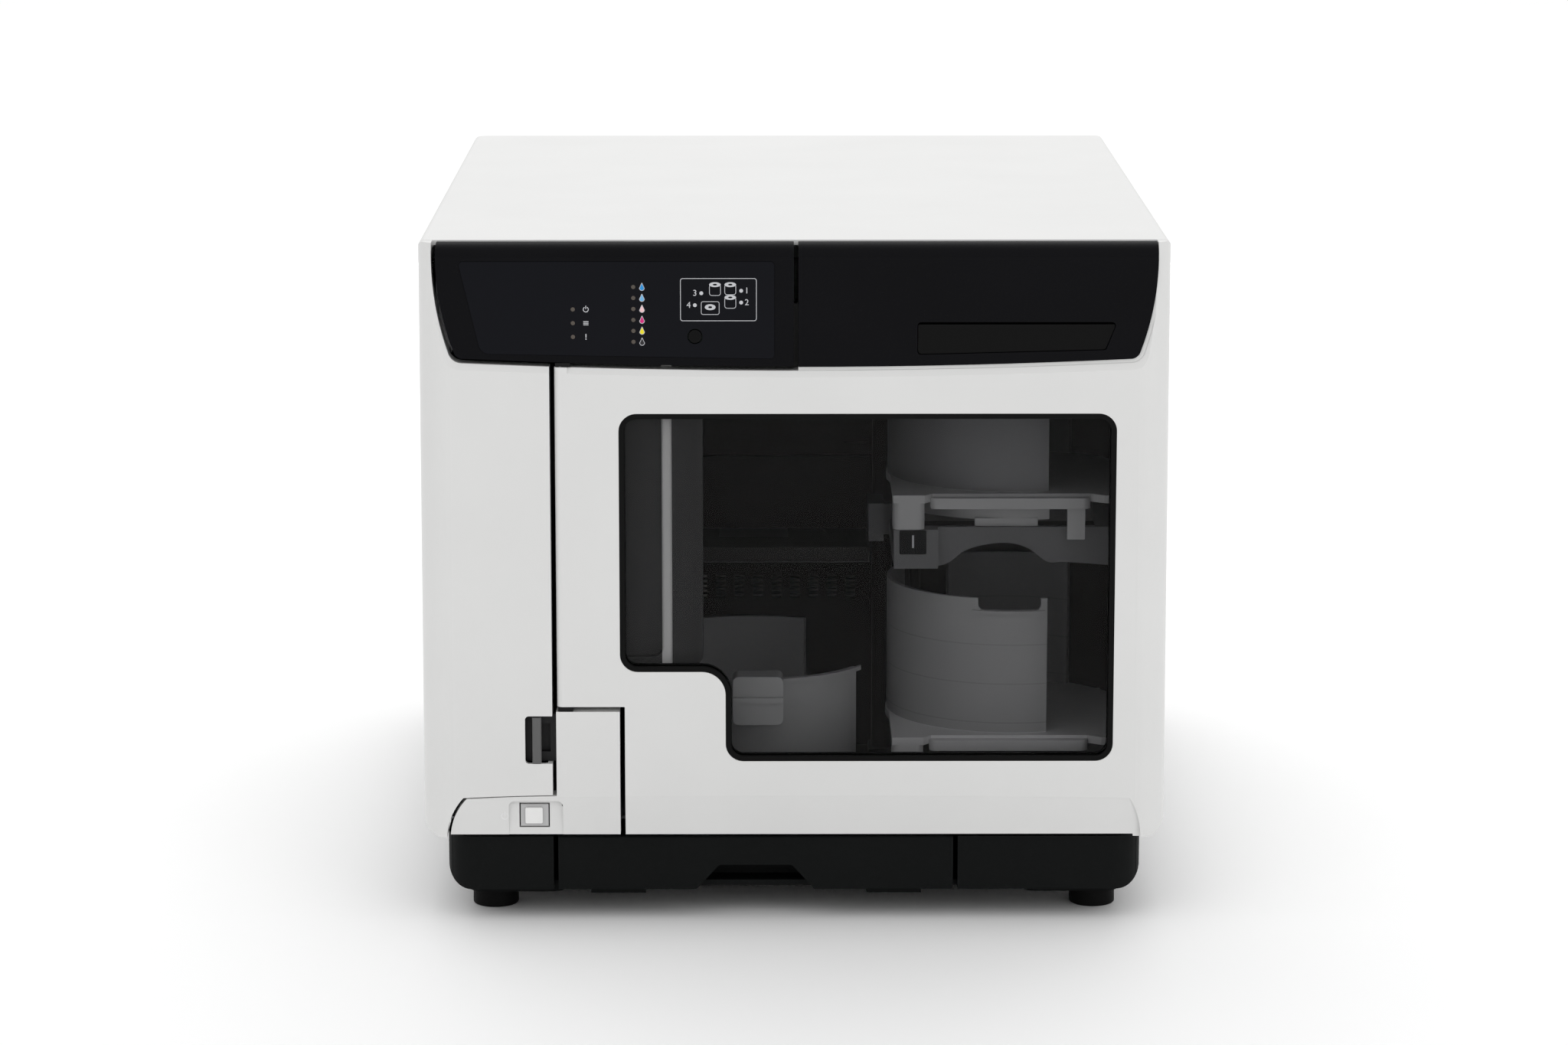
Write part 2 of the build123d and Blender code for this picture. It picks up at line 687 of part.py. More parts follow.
def door_liner():
    """Black inner panel that holds the pane and stiffens the door."""
    y0 = front_y + skin + pane_t
    face = sheet(door_hinge_x + 8, cab_w / 2 - 10.5, step_z + 5, band_low - 4)
    face += sheet(step_x + 5, cab_w / 2 - 10.5, chin_z + return_w + 2, step_z + 8)
    face -= window_opening(gasket_w + 0.3)
    body = front_prism(face, y0, y0 + 2) - CHIN
    rim = window_opening(gasket_w + 0.3 - 2) - window_opening(gasket_w + 0.3)
    return body + front_prism(rim, y0, y0 + 3)


# ---- control panel ----
def overlay_outline():
    """Trapezoid of the control panel's clear sheet, following the band's left side."""
    face = make_face(Polyline((-156.4, 292.4), (-10.0, 289.9), (-10.0, 338.9), (-167.4, 338.9), close=True))
    face = rounded(face, 2.2, (-10.0, 289.9), (-10.0, 338.9), (-167.4, 338.9))
    return rounded(face, 6.0, (-156.4, 292.4))


def lamp_places():
    """Centres of the lamps: three for the state, six for the inks."""
    state = [(status_lamp_x, status_lamp_z + status_lamp_pitch * (1 - i)) for i in range(3)]
    inks = [(ink_lamp_x, ink_lamp_top - ink_lamp_pitch * i) for i in range(6)]
    return state + inks


def control_panel():
    body = band_half(LEFT_OF_SPLIT, panel_gap)
    body -= front_prism(overlay_outline(), front_y, band_y + overlay_sink)
    for x, z in lamp_places():
        body -= rod_y(x, z, front_y, band_y + 5, lamp_r + 0.1)
    return body - rod_y(round_key_x, round_key_z, front_y, band_y + 5, round_key_r + 0.5)


def panel_overlay():
    face = offset(overlay_outline(), -0.15, kind=Kind.INTERSECTION)
    body = front_prism(face, band_y + overlay_sink - overlay_t, band_y + overlay_sink)
    for x, z in lamp_places():
        body -= rod_y(x, z, front_y - 1, band_y + 5, lamp_r + 0.1)
    return body - rod_y(round_key_x, round_key_z, front_y - 1, band_y + 5, round_key_r + 0.4)


def panel_lamps():
    """Lamp pipes that run from the board behind the panel to the clear sheet."""
    return [rod_y(x, z, band_y - 0.1, band_y + 4.6, lamp_r) for x, z in lamp_places()]


def panel_key():
    face_y = band_y - 0.7
    cap = rod_y(round_key_x, round_key_z, face_y, band_y + 3.2, round_key_r)
    return fillet(cap.faces().sort_by(Axis.Y)[0].edges(), 0.7)


def control_board():
    """Circuit board behind the panel, with the switch under the round key."""
    y0 = band_y + 4.6
    board = block(-160, -14, y0, y0 + 1.6, 293, 334)
    return board + rod_y(round_key_x, round_key_z, band_y + 3.2 + round_key_travel + 0.2, y0 + 0.5, 2.0)


def control_boards():
    return [control_board(), key_switch()]


# ---- base ----
def base_form(inset):
    """The black base as a solid: rounded in plan, its long lower edges rounded too."""
    half = base_half_w - inset
    plan = fillet(Rectangle(2 * half, base_d - 2 * inset).vertices(), base_corner_r - inset)
    ends = sheet(-half, half, base_foot + inset, base_top)
    ends = rounded(ends, base_edge_r - inset, (-half, base_foot + inset), (half, base_foot + inset))
    body = Pos(0, 0, base_foot - 1) * extrude(plan, base_top - base_foot + 1)
    return body & front_prism(ends, -base_d, base_d)


BASE = base_form(0)
BASE_INSIDE = base_form(base_wall)
base_front_y = -base_d / 2
tray_front_y = base_front_y + fascia_t + 0.5


def base_tray():
    """Open tub under the cabinet, with guides for the drawer."""
    body = BASE & block(-cab_w, cab_w, tray_front_y, cab_d, 0, base_top)
    body -= BASE_INSIDE
    body -= block(base_split_left, base_split_right, tray_front_y - 1, tray_front_y + base_wall + 1,
                  base_foot + base_wall, cab_h)
    for x in (base_split_left + 1.0, base_split_right - 3.0):
        body += block(x, x + 2.0, tray_front_y + base_wall, 60, base_foot + base_wall - 0.5, base_top - 6)
    return body


def base_plinths():
    """Raised pads between the base and its feet, and two shorter ones under the drawer."""
    pads = []
    for x in (-foot_x, foot_x):
        for y in (-foot_front, foot_front):
            inward_x = 12 if x < 0 else -12
            inward_y = 13.3 if y < 0 else -13.3
            pad = Pos(x + inward_x, y + inward_y, (foot_h + base_foot) / 2) * Box(50, 57, base_foot - foot_h)
            pads.append(fillet(pad.edges().filter_by(Axis.Z), 8))
    for x in (-90, 51):
        pads.append(block(x - 14, x + 14, tray_front_y + 4, tray_front_y + 34, base_foot - 5, base_foot))
    return pads


def base_fascias():
    """Left and right front corners of the base, hollow behind."""
    shell = BASE - BASE_INSIDE + (BASE & block(-cab_w, cab_w, base_front_y, base_front_y + base_wall, 0, base_top))
    shell &= block(-cab_w, cab_w, base_front_y - 1, base_front_y + fascia_t, 0, cab_h)
    left = shell & block(-cab_w, base_split_left - base_split_gap / 2, -cab_d, 0, 0, cab_h)
    right = shell & block(base_split_right + base_split_gap / 2, cab_w, -cab_d, 0, 0, cab_h)
    return [left, right]


def drawer_front():
    """Front of the stacker drawer with its finger notch."""
    left = base_split_left + base_split_gap / 2
    right = base_split_right - base_split_gap / 2
    notch = make_face(Polyline((pull_x - pull_low_w / 2, base_foot - 1), (pull_x + pull_low_w / 2, base_foot - 1),
                               (pull_x + pull_top_w / 2, base_foot + pull_h),
                               (pull_x - pull_top_w / 2, base_foot + pull_h), close=True))
    notch = rounded(notch, 3.0, (pull_x + pull_top_w / 2, base_foot + pull_h),
                    (pull_x - pull_top_w / 2, base_foot + pull_h))
    face = sheet(left, right, base_foot, base_top) - notch
    body = front_prism(face, base_front_y, base_front_y + fascia_t)
    body -= block(left + base_wall, right - base_wall, base_front_y + base_wall, base_front_y + fascia_t + 1,
                  base_foot + pull_h + 3, base_top - base_wall)
    front_edges = body.faces().sort_by(Axis.Y)[0].edges().filter_by(Axis.X).group_by(Axis.Z)
    return fillet(front_edges[-1], 1.0)


def drawer_tray():
    """Drawer body with the round well that catches finished discs."""
    left = base_split_left + 3.6
    right = base_split_right - 3.6
    y0 = base_front_y + fascia_t
    y1 = y0 + drawer_len
    z0 = base_foot + base_wall + 0.4
    z1 = base_top - 2.0
    body = block(left, right, y0, y1, z0, z1)
    body -= block(left + 2, right - 2, y0 + 14, y1 - 2, z0 + 2, z1 + 1)
    body -= block(pull_x - 34, pull_x + 34, y0 - 1, y0 + 12, z0 - 1, base_foot + pull_h + 1.5)
    well = post(out_x, out_y, z0, z1 - 8, disc_r + 3) - post(out_x, out_y, z0 + 5, z1 + 1, disc_r + 1)
    body += well & block(left, right, y0, y1, z0, z1)
    return body - post(out_x, out_y - 4, z0 - 1, z1 + 1, 18)


def feet():
    """Four rubber pads with a stepped top."""
    pads = []
    for x in (-foot_x, foot_x):
        for y in (-foot_front, foot_front):
            pad = post(x, y, 0, foot_h - 1.5, foot_r) + post(x, y, foot_h - 1.5, foot_h, foot_r + 1.6)
            pads.append(fillet(pad.faces().sort_by(Axis.Z)[0].edges(), 1.2))
    return pads


# ---- chassis and chamber ----
def chassis():
    """Steel tray: floor, two sides, upper cross plate and the tabs that hold the hinge pins."""
    y0 = ink_hinge_y + 8
    y1 = back_y - 3.0
    body = block(-chassis_x, chassis_x, y0, y1, base_top, base_top + chassis_t)
    body -= post(out_x, out_y, 0, cab_h, disc_r + 3)
    for s in (-1, 1):
        x = s * (chassis_x - chassis_t / 2)
        body += block(x - chassis_t / 2, x + chassis_t / 2, y0, y1, base_top, chassis_top)
    top = block(-chassis_x, chassis_x, -100, y1, chassis_top - chassis_t, chassis_top)
    for x in (-110, 0, 110):
        for y in (20, 130):
            top -= block(x - 40, x + 40, y - 35, y + 35, 0, cab_h)
    body += top
    return body


def hinge_tabs():
    """Steel tabs in which the pins of both covers turn."""
    tabs = []
    low, high = ink_hinge_span()
    inner = ink_hinge_x + 0.9
    for z in (low - 3.0, high + 0.5):
        tab = block(ink_hinge_x - 1.8, inner, ink_hinge_y - 3, ink_hinge_y + 3.5, z, z + 2.5)
        tab += block(inner - 0.1, -chassis_x + 2, ink_hinge_y - 3, ink_hinge_y + 7.8, z, z + 2.5)
        tabs.append(tab - post(ink_hinge_x, ink_hinge_y, z - 1, z + 4, ink_pin_r + 0.06))
    low, high = door_hinge_span()
    for z0, z1 in ((panel_upright_top + 0.25, low - 0.3), (high + 0.3, high + panel_gap - 0.2)):
        tab = block(door_hinge_x - 2.4, door_hinge_x + 5, door_hinge_y - 2.2, door_back_y + 0.1, z0, z1)
        tabs.append(tab - post(door_hinge_x, door_hinge_y, z0 - 1, z1 + 1, hinge_pin_r + 0.06))
    return tabs


def front_frame():
    """Grey frame round the chamber's mouth; its left edge clears the door's edge as that turns."""
    y0 = -frame_front
    y1 = y0 + frame_t
    head_z = band_low - 4
    left = door_hinge_x + hypot(door_barrel_r, door_back - door_barrel_r) + 0.9
    pillar = sheet(left, pillar_right, pillar_foot, head_z)
    pillar = rounded(pillar, 6.0, (pillar_right, pillar_foot))
    face = pillar + sheet(left, chamber_right, head_z - 14, head_z)
    face += sheet(chamber_right - 7, chamber_right, floor_z + 1, head_z)
    face += sheet(step_x + 4, chamber_right, floor_z + 1, floor_z + 12)
    body = front_prism(face, y0, y1)
    body += block(chamber_left + 6, chamber_right, door_back_y + 0.4, y1, head_z - 1, beam_z + 20)
    panel = sheet(left + 5, bar_left, pillar_foot + 5, head_z - 6)
    panel = rounded(panel, 5.0, (bar_left, pillar_foot + 5))
    body -= front_prism(panel, y0 - 1, y0 + 3)
    flat = sheet(bar_right, pillar_right - 3.2, pillar_foot - 1, head_z - 6)
    body -= front_prism(flat, y0 - 1, y0 + 1.5)
    bar_edges = [e for e in body.edges().filter_by(Axis.Z) if abs(e.center().Y - y0) < 0.01
                 and bar_left - 0.1 < e.center().X < bar_right + 0.1]
    return fillet(bar_edges, 1.4)


def chamber_floor():
    """Moulded floor of the chamber with the hole through which discs reach the drawer."""
    z0 = floor_z - floor_t
    body = block(-84, chamber_right, -frame_front + frame_t, drive_front_y - 0.3, z0, floor_z)
    for x in (-84, chamber_right - 3):
        body += block(x, x + 3, ink_hinge_y + 9, drive_front_y - 0.3, base_top + chassis_t, floor_z)
    body -= post(out_x, out_y, 0, cab_h, disc_r + 2)
    return body


def chamber_walls():
    """Dark walls of the chamber: left side, right side, and the back beside the printer."""
    left = block(chamber_left, chamber_left + 2, -frame_front + frame_t, back_wall_y + 20, base_top + chassis_t,
                 beam_z)
    right = block(chamber_right, chamber_right + 2, -frame_front + frame_t, back_wall_y + 2,
                  base_top + chassis_t, beam_z)
    back = block(58, chamber_right, back_wall_y, back_wall_y + 2, base_top + chassis_t, beam_z)
    return [left, right + back]


def printer_front():
    """Dark cover of the printer below the drives: tray slot and louvres."""
    x0, x1 = out_x - drive_w / 2 - 3, out_x + drive_w / 2 + 3
    face = sheet(x0, x1, floor_z, drive_low_z - 1.5)
    face -= sheet(out_x - tray_w / 2 - 1, out_x + tray_w / 2 + 1, printer_tray_z - 1.2, printer_tray_z + tray_t + 12)
    body = front_prism(face, drive_front_y, drive_front_y + 2.5)
    for i in range(11):
        x = out_x - 50 + 10 * i
        body -= block(x, x + 5, drive_front_y - 1, drive_front_y + 4, 132, 144.7)
    for i in range(5):
        z = 133.5 + 2.6 * i
        body += block(out_x - 52, out_x + 60, drive_front_y + 1.2, drive_front_y + 2.5, z, z + 1.2)
    return body


def printer_body():
    """Label printer's frame: two side walls, floor and the bed on which its tray runs."""
    x0, x1 = out_x - drive_w / 2 - 3, out_x + drive_w / 2 + 3
    y0, y1 = drive_front_y + 2.8, drive_front_y + drive_d + 30
    z1 = drive_low_z - 1.5
    body = block(x0, x0 + 2, y0, y1, floor_z - floor_t, z1) + block(x1 - 2, x1, y0, y1, floor_z - floor_t, z1)
    body += block(x0, x1, y1 - 2, y1, floor_z - floor_t, z1)
    body += block(x0 + 2, x1 - 2, y0, y1, printer_tray_z - 3.5, printer_tray_z - 0.5)
    body += block(x0 + 2, x1 - 2, y0 + 120, y1, floor_z - floor_t, printer_tray_z - 3)
    return body


def carriage_rail():
    """Two round rails across the printer on which the print head runs."""
    x0, x1 = out_x - drive_w / 2 - 1, out_x + drive_w / 2 + 1
    rails = []
    for y, z in ((drive_front_y + 100, 186), (drive_front_y + 125, 186)):
        rails.append(Pos((x0 + x1) / 2, y, z) * Rot(0, 90, 0) * Cylinder(3, x1 - x0))
    return rails


def print_carriage():
    """Print head carriage hung on its two rails."""
    y0 = drive_front_y + 92
    body = block(out_x - 20, out_x + 20, y0, y0 + 41, 166, 196)
    body = fillet(body.edges().filter_by(Axis.Z), 3)
    body -= block(out_x - 17, out_x + 17, y0 + 3, y0 + 38, 191, 197)
    for y in (drive_front_y + 100, drive_front_y + 125):
        body -= Pos(out_x, y, 186) * Rot(0, 90, 0) * Cylinder(3 + arm_play, 60)
    return body


def disc_tray(z):
    """Tray with a round seat for a disc, and a lip at its front."""
    y_mid = out_y + tray_travel
    y0 = y_mid - disc_r - 5
    body = block(out_x - tray_w / 2, out_x + tray_w / 2, y0, y_mid + disc_r + 6, z, z + tray_t)
    body -= post(out_x, y_mid, z + tray_t - 2.6, z + tray_t + 1, disc_r + 0.6)
    body -= post(out_x, y_mid, z + tray_t - 3.8, z + tray_t + 1, 40)
    body -= block(out_x - 19, out_x + 19, y_mid - 8, y_mid + disc_r - 6, z - 1, z + tray_t + 1)
    return body


def disc_drive(index):
    """Optical drive: steel case with a slot for its tray behind the bezel."""
    z = drive_low_z + index * drive_pitch
    x0, x1 = out_x - drive_w / 2, out_x + drive_w / 2
    y1 = drive_front_y + drive_d
    body = block(x0, x1, drive_front_y + 0.5, y1, z, z + drive_h)
    slot = block(out_x - tray_w / 2 - 0.8, out_x + tray_w / 2 + 0.8, drive_front_y, drive_front_y + 142,
                 z + 20, z + 20 + tray_t + 8)
    body -= slot
    body -= block(x0 + 12, x0 + 20, drive_front_y, drive_front_y + 1.5, z + 6, z + 9)
    return body - block(x1 - 24, x1 - 12, drive_front_y, drive_front_y + 1.5, z + 6, z + 10)


def drive_tray(index):
    """Tray of a drive, with the bezel strip that closes its slot."""
    z = drive_low_z + index * drive_pitch + 20.6
    body = disc_tray(z)
    front = block(out_x - tray_w / 2, out_x + tray_w / 2, drive_front_y - 2, drive_front_y + 0.2, z, z + tray_t + 6)
    return body + front


def printer_tray():
    body = disc_tray(printer_tray_z)
    front = block(out_x - tray_w / 2, out_x + tray_w / 2, drive_front_y - 2, drive_front_y + 1, printer_tray_z,
                  printer_tray_z + tray_t + 2)
    return body + front


def drive_cage():
    """Folded steel shelf that carries both drives on the printer's frame."""
    x0, x1 = out_x - drive_w / 2 - cage_t - 0.3, out_x + drive_w / 2 + cage_t + 0.3
    y0, y1 = drive_front_y + 4, drive_front_y + drive_d + 2
    z1 = drive_low_z + drive_pitch + drive_h
    body = block(x0, x1, y0, y1, drive_low_z - 1.5, drive_low_z - 0.3)
    for x in (x0, x1 - cage_t):
        body += block(x, x + cage_t, y0, y1, drive_low_z - 1.5, z1)
    middle = drive_low_z + drive_h + 0.2
    return body + block(x0, x1, y0, y1, middle, middle + 1.0)


# ---- stackers ----
def cup(x, y, z0, z1, gaps):
    """Round cup wall with upright gaps, each given by its first and last direction in degrees."""
    wall = post(x, y, z0, z1, cup_r) - post(x, y, z0 - 1, z1 + 1, cup_r - cup_wall)
    for first, last in gaps:
        reach = 2 * cup_r
        middle = (first + last) / 2
        corners = [(0, 0)]
        for angle in (first, middle, last):
            corners.append((reach * cos(radians(angle)), reach * sin(radians(angle))))
        wedge = extrude(make_face(Polyline(*corners, close=True)), z1 - z0 + 2)
        wall -= Pos(x, y, z0 - 1) * wedge
    return wall


def stacker_plate(z):
    """Plate under an input stacker: disc seat, wavy front lip and the post at its left."""
    lip_y = in_y - cup_r - 10
    plan = make_face(Polyline((50, lip_y), (66, lip_y), (70, lip_y + 5), (150, lip_y + 5), (157, lip_y),
                              (164, lip_y), (164, in_y + 40), (50, in_y + 40), close=True))
    plan += Pos(in_x, in_y) * Circle(cup_r + 0.6)
    body = Pos(0, 0, z - stack_plate_t) * extrude(plan, stack_plate_t)
    lip = block(69, 150, lip_y, lip_y + 6, z - 7, z - 1.5)
    lip = fillet(lip.edges().filter_by(Axis.Z).group_by(Axis.Y)[0], 4)
    return body + lip


def stacker_front_post(z):
    """Rounded leg that hangs from the plate's left front corner."""
    lip_y = in_y - cup_r - 10
    leg = block(50, 66, lip_y, lip_y + 16, z - 17.6, z - 0.5)
    return fillet(leg.edges().filter_by(Axis.Z).group_by(Axis.Y)[0], 4)


def input_stacker(z):
    """Cup for blank discs: open on its right for the hand, and at its left rear for the arm."""
    arm_way = degrees(atan2(col_y - in_y, col_x - in_x))
    body = cup(in_x, in_y, z - 0.5, z + cup_h, [(-74, -10), (-10, 55), (arm_way - 16, arm_way + 16)])
    front = block(in_x - 18, in_x + 14, in_y - cup_r - 3, in_y - cup_r + 12, z + cup_h - 6.0, z + cup_h + 1)
    body -= fillet(front.edges().filter_by(Axis.Y).group_by(Axis.Z)[0], 3)
    rim = post(in_x, in_y, z + cup_h - 8, z + cup_h - 6.2, cup_r + 1.2) - post(in_x, in_y, 0, cab_h, cup_r - 0.5)
    body += rim & block(in_x - 21, in_x + 16, in_y - 80, in_y, 0, cab_h)
    return body + stacker_plate(z) + stacker_front_post(z)


def stacker_1():
    """Upper stacker with its under-ring and the tabs that hook into the holder."""
    z = upper_plate_z
    body = input_stacker(z)
    ring = post(in_x, in_y, z - 15, z - stack_plate_t + 0.5, cup_r - 2) - post(in_x, in_y, 0, cab_h, cup_r - 6)
    body += ring & block(50, 130, in_y - 80, in_y - 20, 0, cab_h)
    body += block(in_x - 20, in_x + 12, in_y - cup_r + 2, in_y - cup_r + 6, z - 18.0, z - 14)
    return body + block(138.5, 147.5, in_y - cup_r - 6, in_y - cup_r - 3, z - 23.5, z - stack_plate_t + 0.5)


def stacker_2():
    return input_stacker(lower_plate_z)


def stacker_3():
    """Output cup: lower at the front, cut away at the right, with a grip on its front."""
    arm_way = degrees(atan2(col_y - out_y, col_x - out_x))
    body = cup(out_x, out_y, out_plate_z, out_back_z, [(-32, 20), (20, arm_way + 22)])
    body -= block(out_x - 90, out_x + 90, out_y - 90, out_y - 8, out_front_z, cab_h)
    rim = post(out_x, out_y, out_front_z - 2, out_front_z, cup_r + 1.6) - post(out_x, out_y, 0, cab_h, cup_r - 0.5)
    body += rim & block(out_x - 90, out_x + 56, out_y - 90, out_y - 30, 0, cab_h)
    body += post(out_x, out_y, out_plate_z - 3, out_plate_z, cup_r)
    grip = make_face(Polyline((-31.3, 97), (-5.6, 97), (-5.6, 122), (-31.3, 122), close=True))
    grip = rounded(grip, 3.0)
    front_y0 = out_y - cup_r
    handle = front_prism(grip, front_y0 - 13, front_y0 + 3)
    handle -= block(-28.8, -8.1, front_y0 - 10, front_y0 + 1, 96, 119)
    handle += front_prism(sheet(-31.3, -5.6, 108.6, 111.4), front_y0 - 14.5, front_y0 - 12)
    return body + (handle - post(out_x, out_y, 0, cab_h, cup_r - cup_wall + 0.3))


def stacker_holder_upper():
    """Arched bracket from the right wall and the back that carries stacker 1."""
    z1 = upper_plate_z - 18.1
    low = z1 - 20
    front = in_y - cup_r - 8
    bow = Spline((135, low + 2), (126.6, low + 3.2), (122, low + 7), (116.7, low + 10), (93.5, low + 10),
                 (85.5, low + 6.9), (78.4, low + 1.4), (73, low))
    under = Polyline((73, low), (73, low - 4), (164, low - 4), (164, low), (135, low + 2))
    arch = sheet(50.5, 164, low, z1) - make_face([bow, under])
    body = front_prism(arch, front + 8, front + 12)
    body += block(50.5, 73.0, front, front + 9, low, z1)
    body += block(160, chamber_right - 0.3, front + 8, back_wall_y - 0.3, low + 2, z1)
    body += block(55, 164, in_y + cup_r - 6, in_y + cup_r, low, z1)
    body += block(90, 120, in_y + cup_r - 1, back_wall_y - 0.3, low, z1)
    side = block(39.5, 47.5, in_y + 12, in_y + 40, low - 2, z1 - 2)
    body += side + block(45, 52, in_y + 20, in_y + 30, low, z1 - 4)
    body += block(50.5, 55.5, front + 8, in_y + cup_r - 5, low, low + 8)
    return body


def stacker_holder_lower():
    """Pedestal on the chamber floor that carries stacker 2."""
    z1 = lower_plate_z - stack_plate_t - 3.2
    top = z1 + 3.0
    front = in_y - cup_r - 6
    body = block(74, 160, front + 6, in_y + cup_r, floor_z, top)
    body -= block(78, 156, front + 10, in_y + cup_r - 4, floor_z - 1, top - 3)
    body -= post(in_x, in_y, 0, cab_h, 30)
    return body


# ---- arm ----
def arm_column():
    """Fixed column and guide rod with their foot and head plates."""
    body = post(col_x, col_y, floor_z, chassis_top - chassis_t - 2, col_r)
    body += post(guide_x, guide_y, floor_z, chassis_top - chassis_t - 2, guide_r)
    plate = sheet_flat(col_x - 7, guide_x + 5, col_y - 7, guide_y + 4)
    body += Pos(0, 0, floor_z) * extrude(plate, 3)
    return body + Pos(0, 0, chassis_top - chassis_t - 3) * extrude(plate, 3)


def arm_carriage():
    """Block that climbs the column and carries the arm."""
    z0 = arm_z + arm_t + 0.5
    z1 = z0 + 16
    plan = make_face(Polyline((col_x, col_y - 10), (col_x + 9, col_y - 10), (guide_x + 7, guide_y - 3),
                              (guide_x + 7, guide_y + 6), (guide_x - 5, guide_y + 6), (col_x - 9.5, col_y + 5),
                              (col_x - 9.5, col_y - 10), close=True))
    body = Pos(0, 0, z0) * extrude(rounded(plan, 1.5), z1 - z0)
    body += post(col_x, col_y, arm_z - 3, z0 + 1, col_r + 2.5)
    body -= post(col_x, col_y, 0, cab_h, col_r + arm_play)
    return body - post(guide_x, guide_y, 0, cab_h, guide_r + arm_play)


def arm():
    """Swinging arm with its hub round the carriage's neck and the disc gripper at its end."""
    angle = degrees(atan2(in_y - col_y, in_x - col_x))
    hub_r = col_r + 2.5
    body = post(0, 0, arm_z, arm_z + arm_t, hub_r + 4)
    body += block(0, arm_reach, -arm_w / 2, arm_w / 2, arm_z, arm_z + arm_t)
    body += post(arm_reach, 0, arm_z, arm_z + arm_t, arm_w / 2 + 3)
    body -= block(16, arm_reach - 16, -arm_w / 2 + 2.5, arm_w / 2 - 2.5, arm_z - 1, arm_z + arm_t - 2.5)
    body += post(arm_reach, 0, arm_z - 5, arm_z + 1, 7.0)
    body -= post(0, 0, arm_z - 5, arm_z + 20, hub_r + arm_play)
    return Pos(col_x, col_y, 0) * Rot(0, 0, angle) * body


# ---- ink bay, electronics, back ----
bay_x0 = -chassis_x + chassis_t + 1
bay_x1 = bay_x0 + 2 * bay_wall + cart_w + 1.2
bay_top = bay_low + cart_count * cart_pitch + bay_wall


def ink_bay():
    """Open-fronted rack with one slot for each cartridge."""
    y0 = front_y + 22
    y1 = y0 + cart_d + 8
    body = block(bay_x0, bay_x1, y0, y1, bay_low - bay_wall, bay_top)
    for i in range(cart_count):
        z = bay_low + i * cart_pitch
        body -= block(bay_x0 + bay_wall, bay_x1 - bay_wall, y0 - 1, y1 - 3, z, z + cart_pitch - bay_wall)
    return body + block(bay_x0, bay_x1, y0 + 20, y1, base_top + chassis_t, bay_low)


def ink_cartridges():
    """Six cartridges with a finger ridge on their front."""
    parts = []
    y0 = front_y + 19
    x0 = bay_x0 + bay_wall + 0.6
    for i in range(cart_count):
        z = bay_low + i * cart_pitch + 0.01
        body = block(x0, x0 + cart_w, y0, y0 + cart_d, z, z + cart_h)
        body -= block(x0 + 6, x0 + cart_w - 6, y0 - 1, y0 + 2.5, z + 5, z + 12)
        parts.append(fillet(body.edges().filter_by(Axis.Y).sort_by(Axis.Z)[-2:], 2))
    return parts


def main_board():
    """Circuit board upright on the right chassis wall, with its larger parts."""
    x = chassis_x - chassis_t - 5
    body = block(x - 1.6, x, 0, 190, 120, 300)
    body += block(x - 12, x - 1.5, 40, 70, 180, 210) + block(x - 9, x - 1.5, 100, 150, 230, 250)
    for y in (10, 180):
        for z in (130, 290):
            body += Pos(x + 2.45, y, z) * Rot(0, 90, 0) * Cylinder(3, 5.1)
    return body


def power_supply():
    """Power supply in a vented steel case on the chassis floor."""
    body = block(70, 160, 60, 200, base_top + chassis_t, base_top + chassis_t + 50)
    for i in range(8):
        body -= block(69, 72, 75 + 15 * i, 81 + 15 * i, base_top + 12, base_top + 40)
    return body


def fan_frame():
    """Square fan frame with a hub on spokes, screwed to the back cover."""
    y1 = back_y - 2.4
    y0 = y1 - fan_d
    body = front_prism(rounded(Pos(fan_x, fan_z) * Rectangle(2 * fan_r + 4, 2 * fan_r + 4), 4), y0, y1)
    body -= rod_y(fan_x, fan_z, y0 - 1, y1 + 1, fan_r - 1)
    hub = rod_y(fan_x, fan_z, y0, y0 + 3, 14)
    for turn in (45, 135):
        hub += Pos(fan_x, y0 + 1.5, fan_z) * Rot(0, turn, 0) * Box(2 * fan_r, 3, 4)
    hub += rod_y(fan_x, fan_z, y0 + 2, y0 + 12, 2)
    return body + hub


def fan_rotor():
    """Rotor with pitched blades round its hub."""
    y0 = back_y - 2.4 - fan_d + 3.6
    y1 = back_y - 2.4 - 1.6
    body = rod_y(fan_x, fan_z, y0, y1, 13) - rod_y(fan_x, fan_z, y0 - 1, y0 + 10, 2 + arm_play)
    blade = Pos(0, 0, (13 + fan_r - 3) / 2) * Rot(0, 0, 35) * Box(2, 15, fan_r - 3 - 11)
    for i in range(fan_blades):
        body += Pos(fan_x, (y0 + y1) / 2, fan_z) * Rot(0, 360 / fan_blades * i, 0) * blade
    return body


def rear_screws():
    """Pan-head screws round the back cover."""
    edge = half_width(leg_foot) - back_corner_r - 8 - seam - 6
    screws = []
    for x in (-edge, 0, edge):
        for z in (leg_foot + 8, split_z - 8):
            screws.append(rod_y(x, z, back_y - 1.2, back_y - 0.1, 3.2))
    return screws


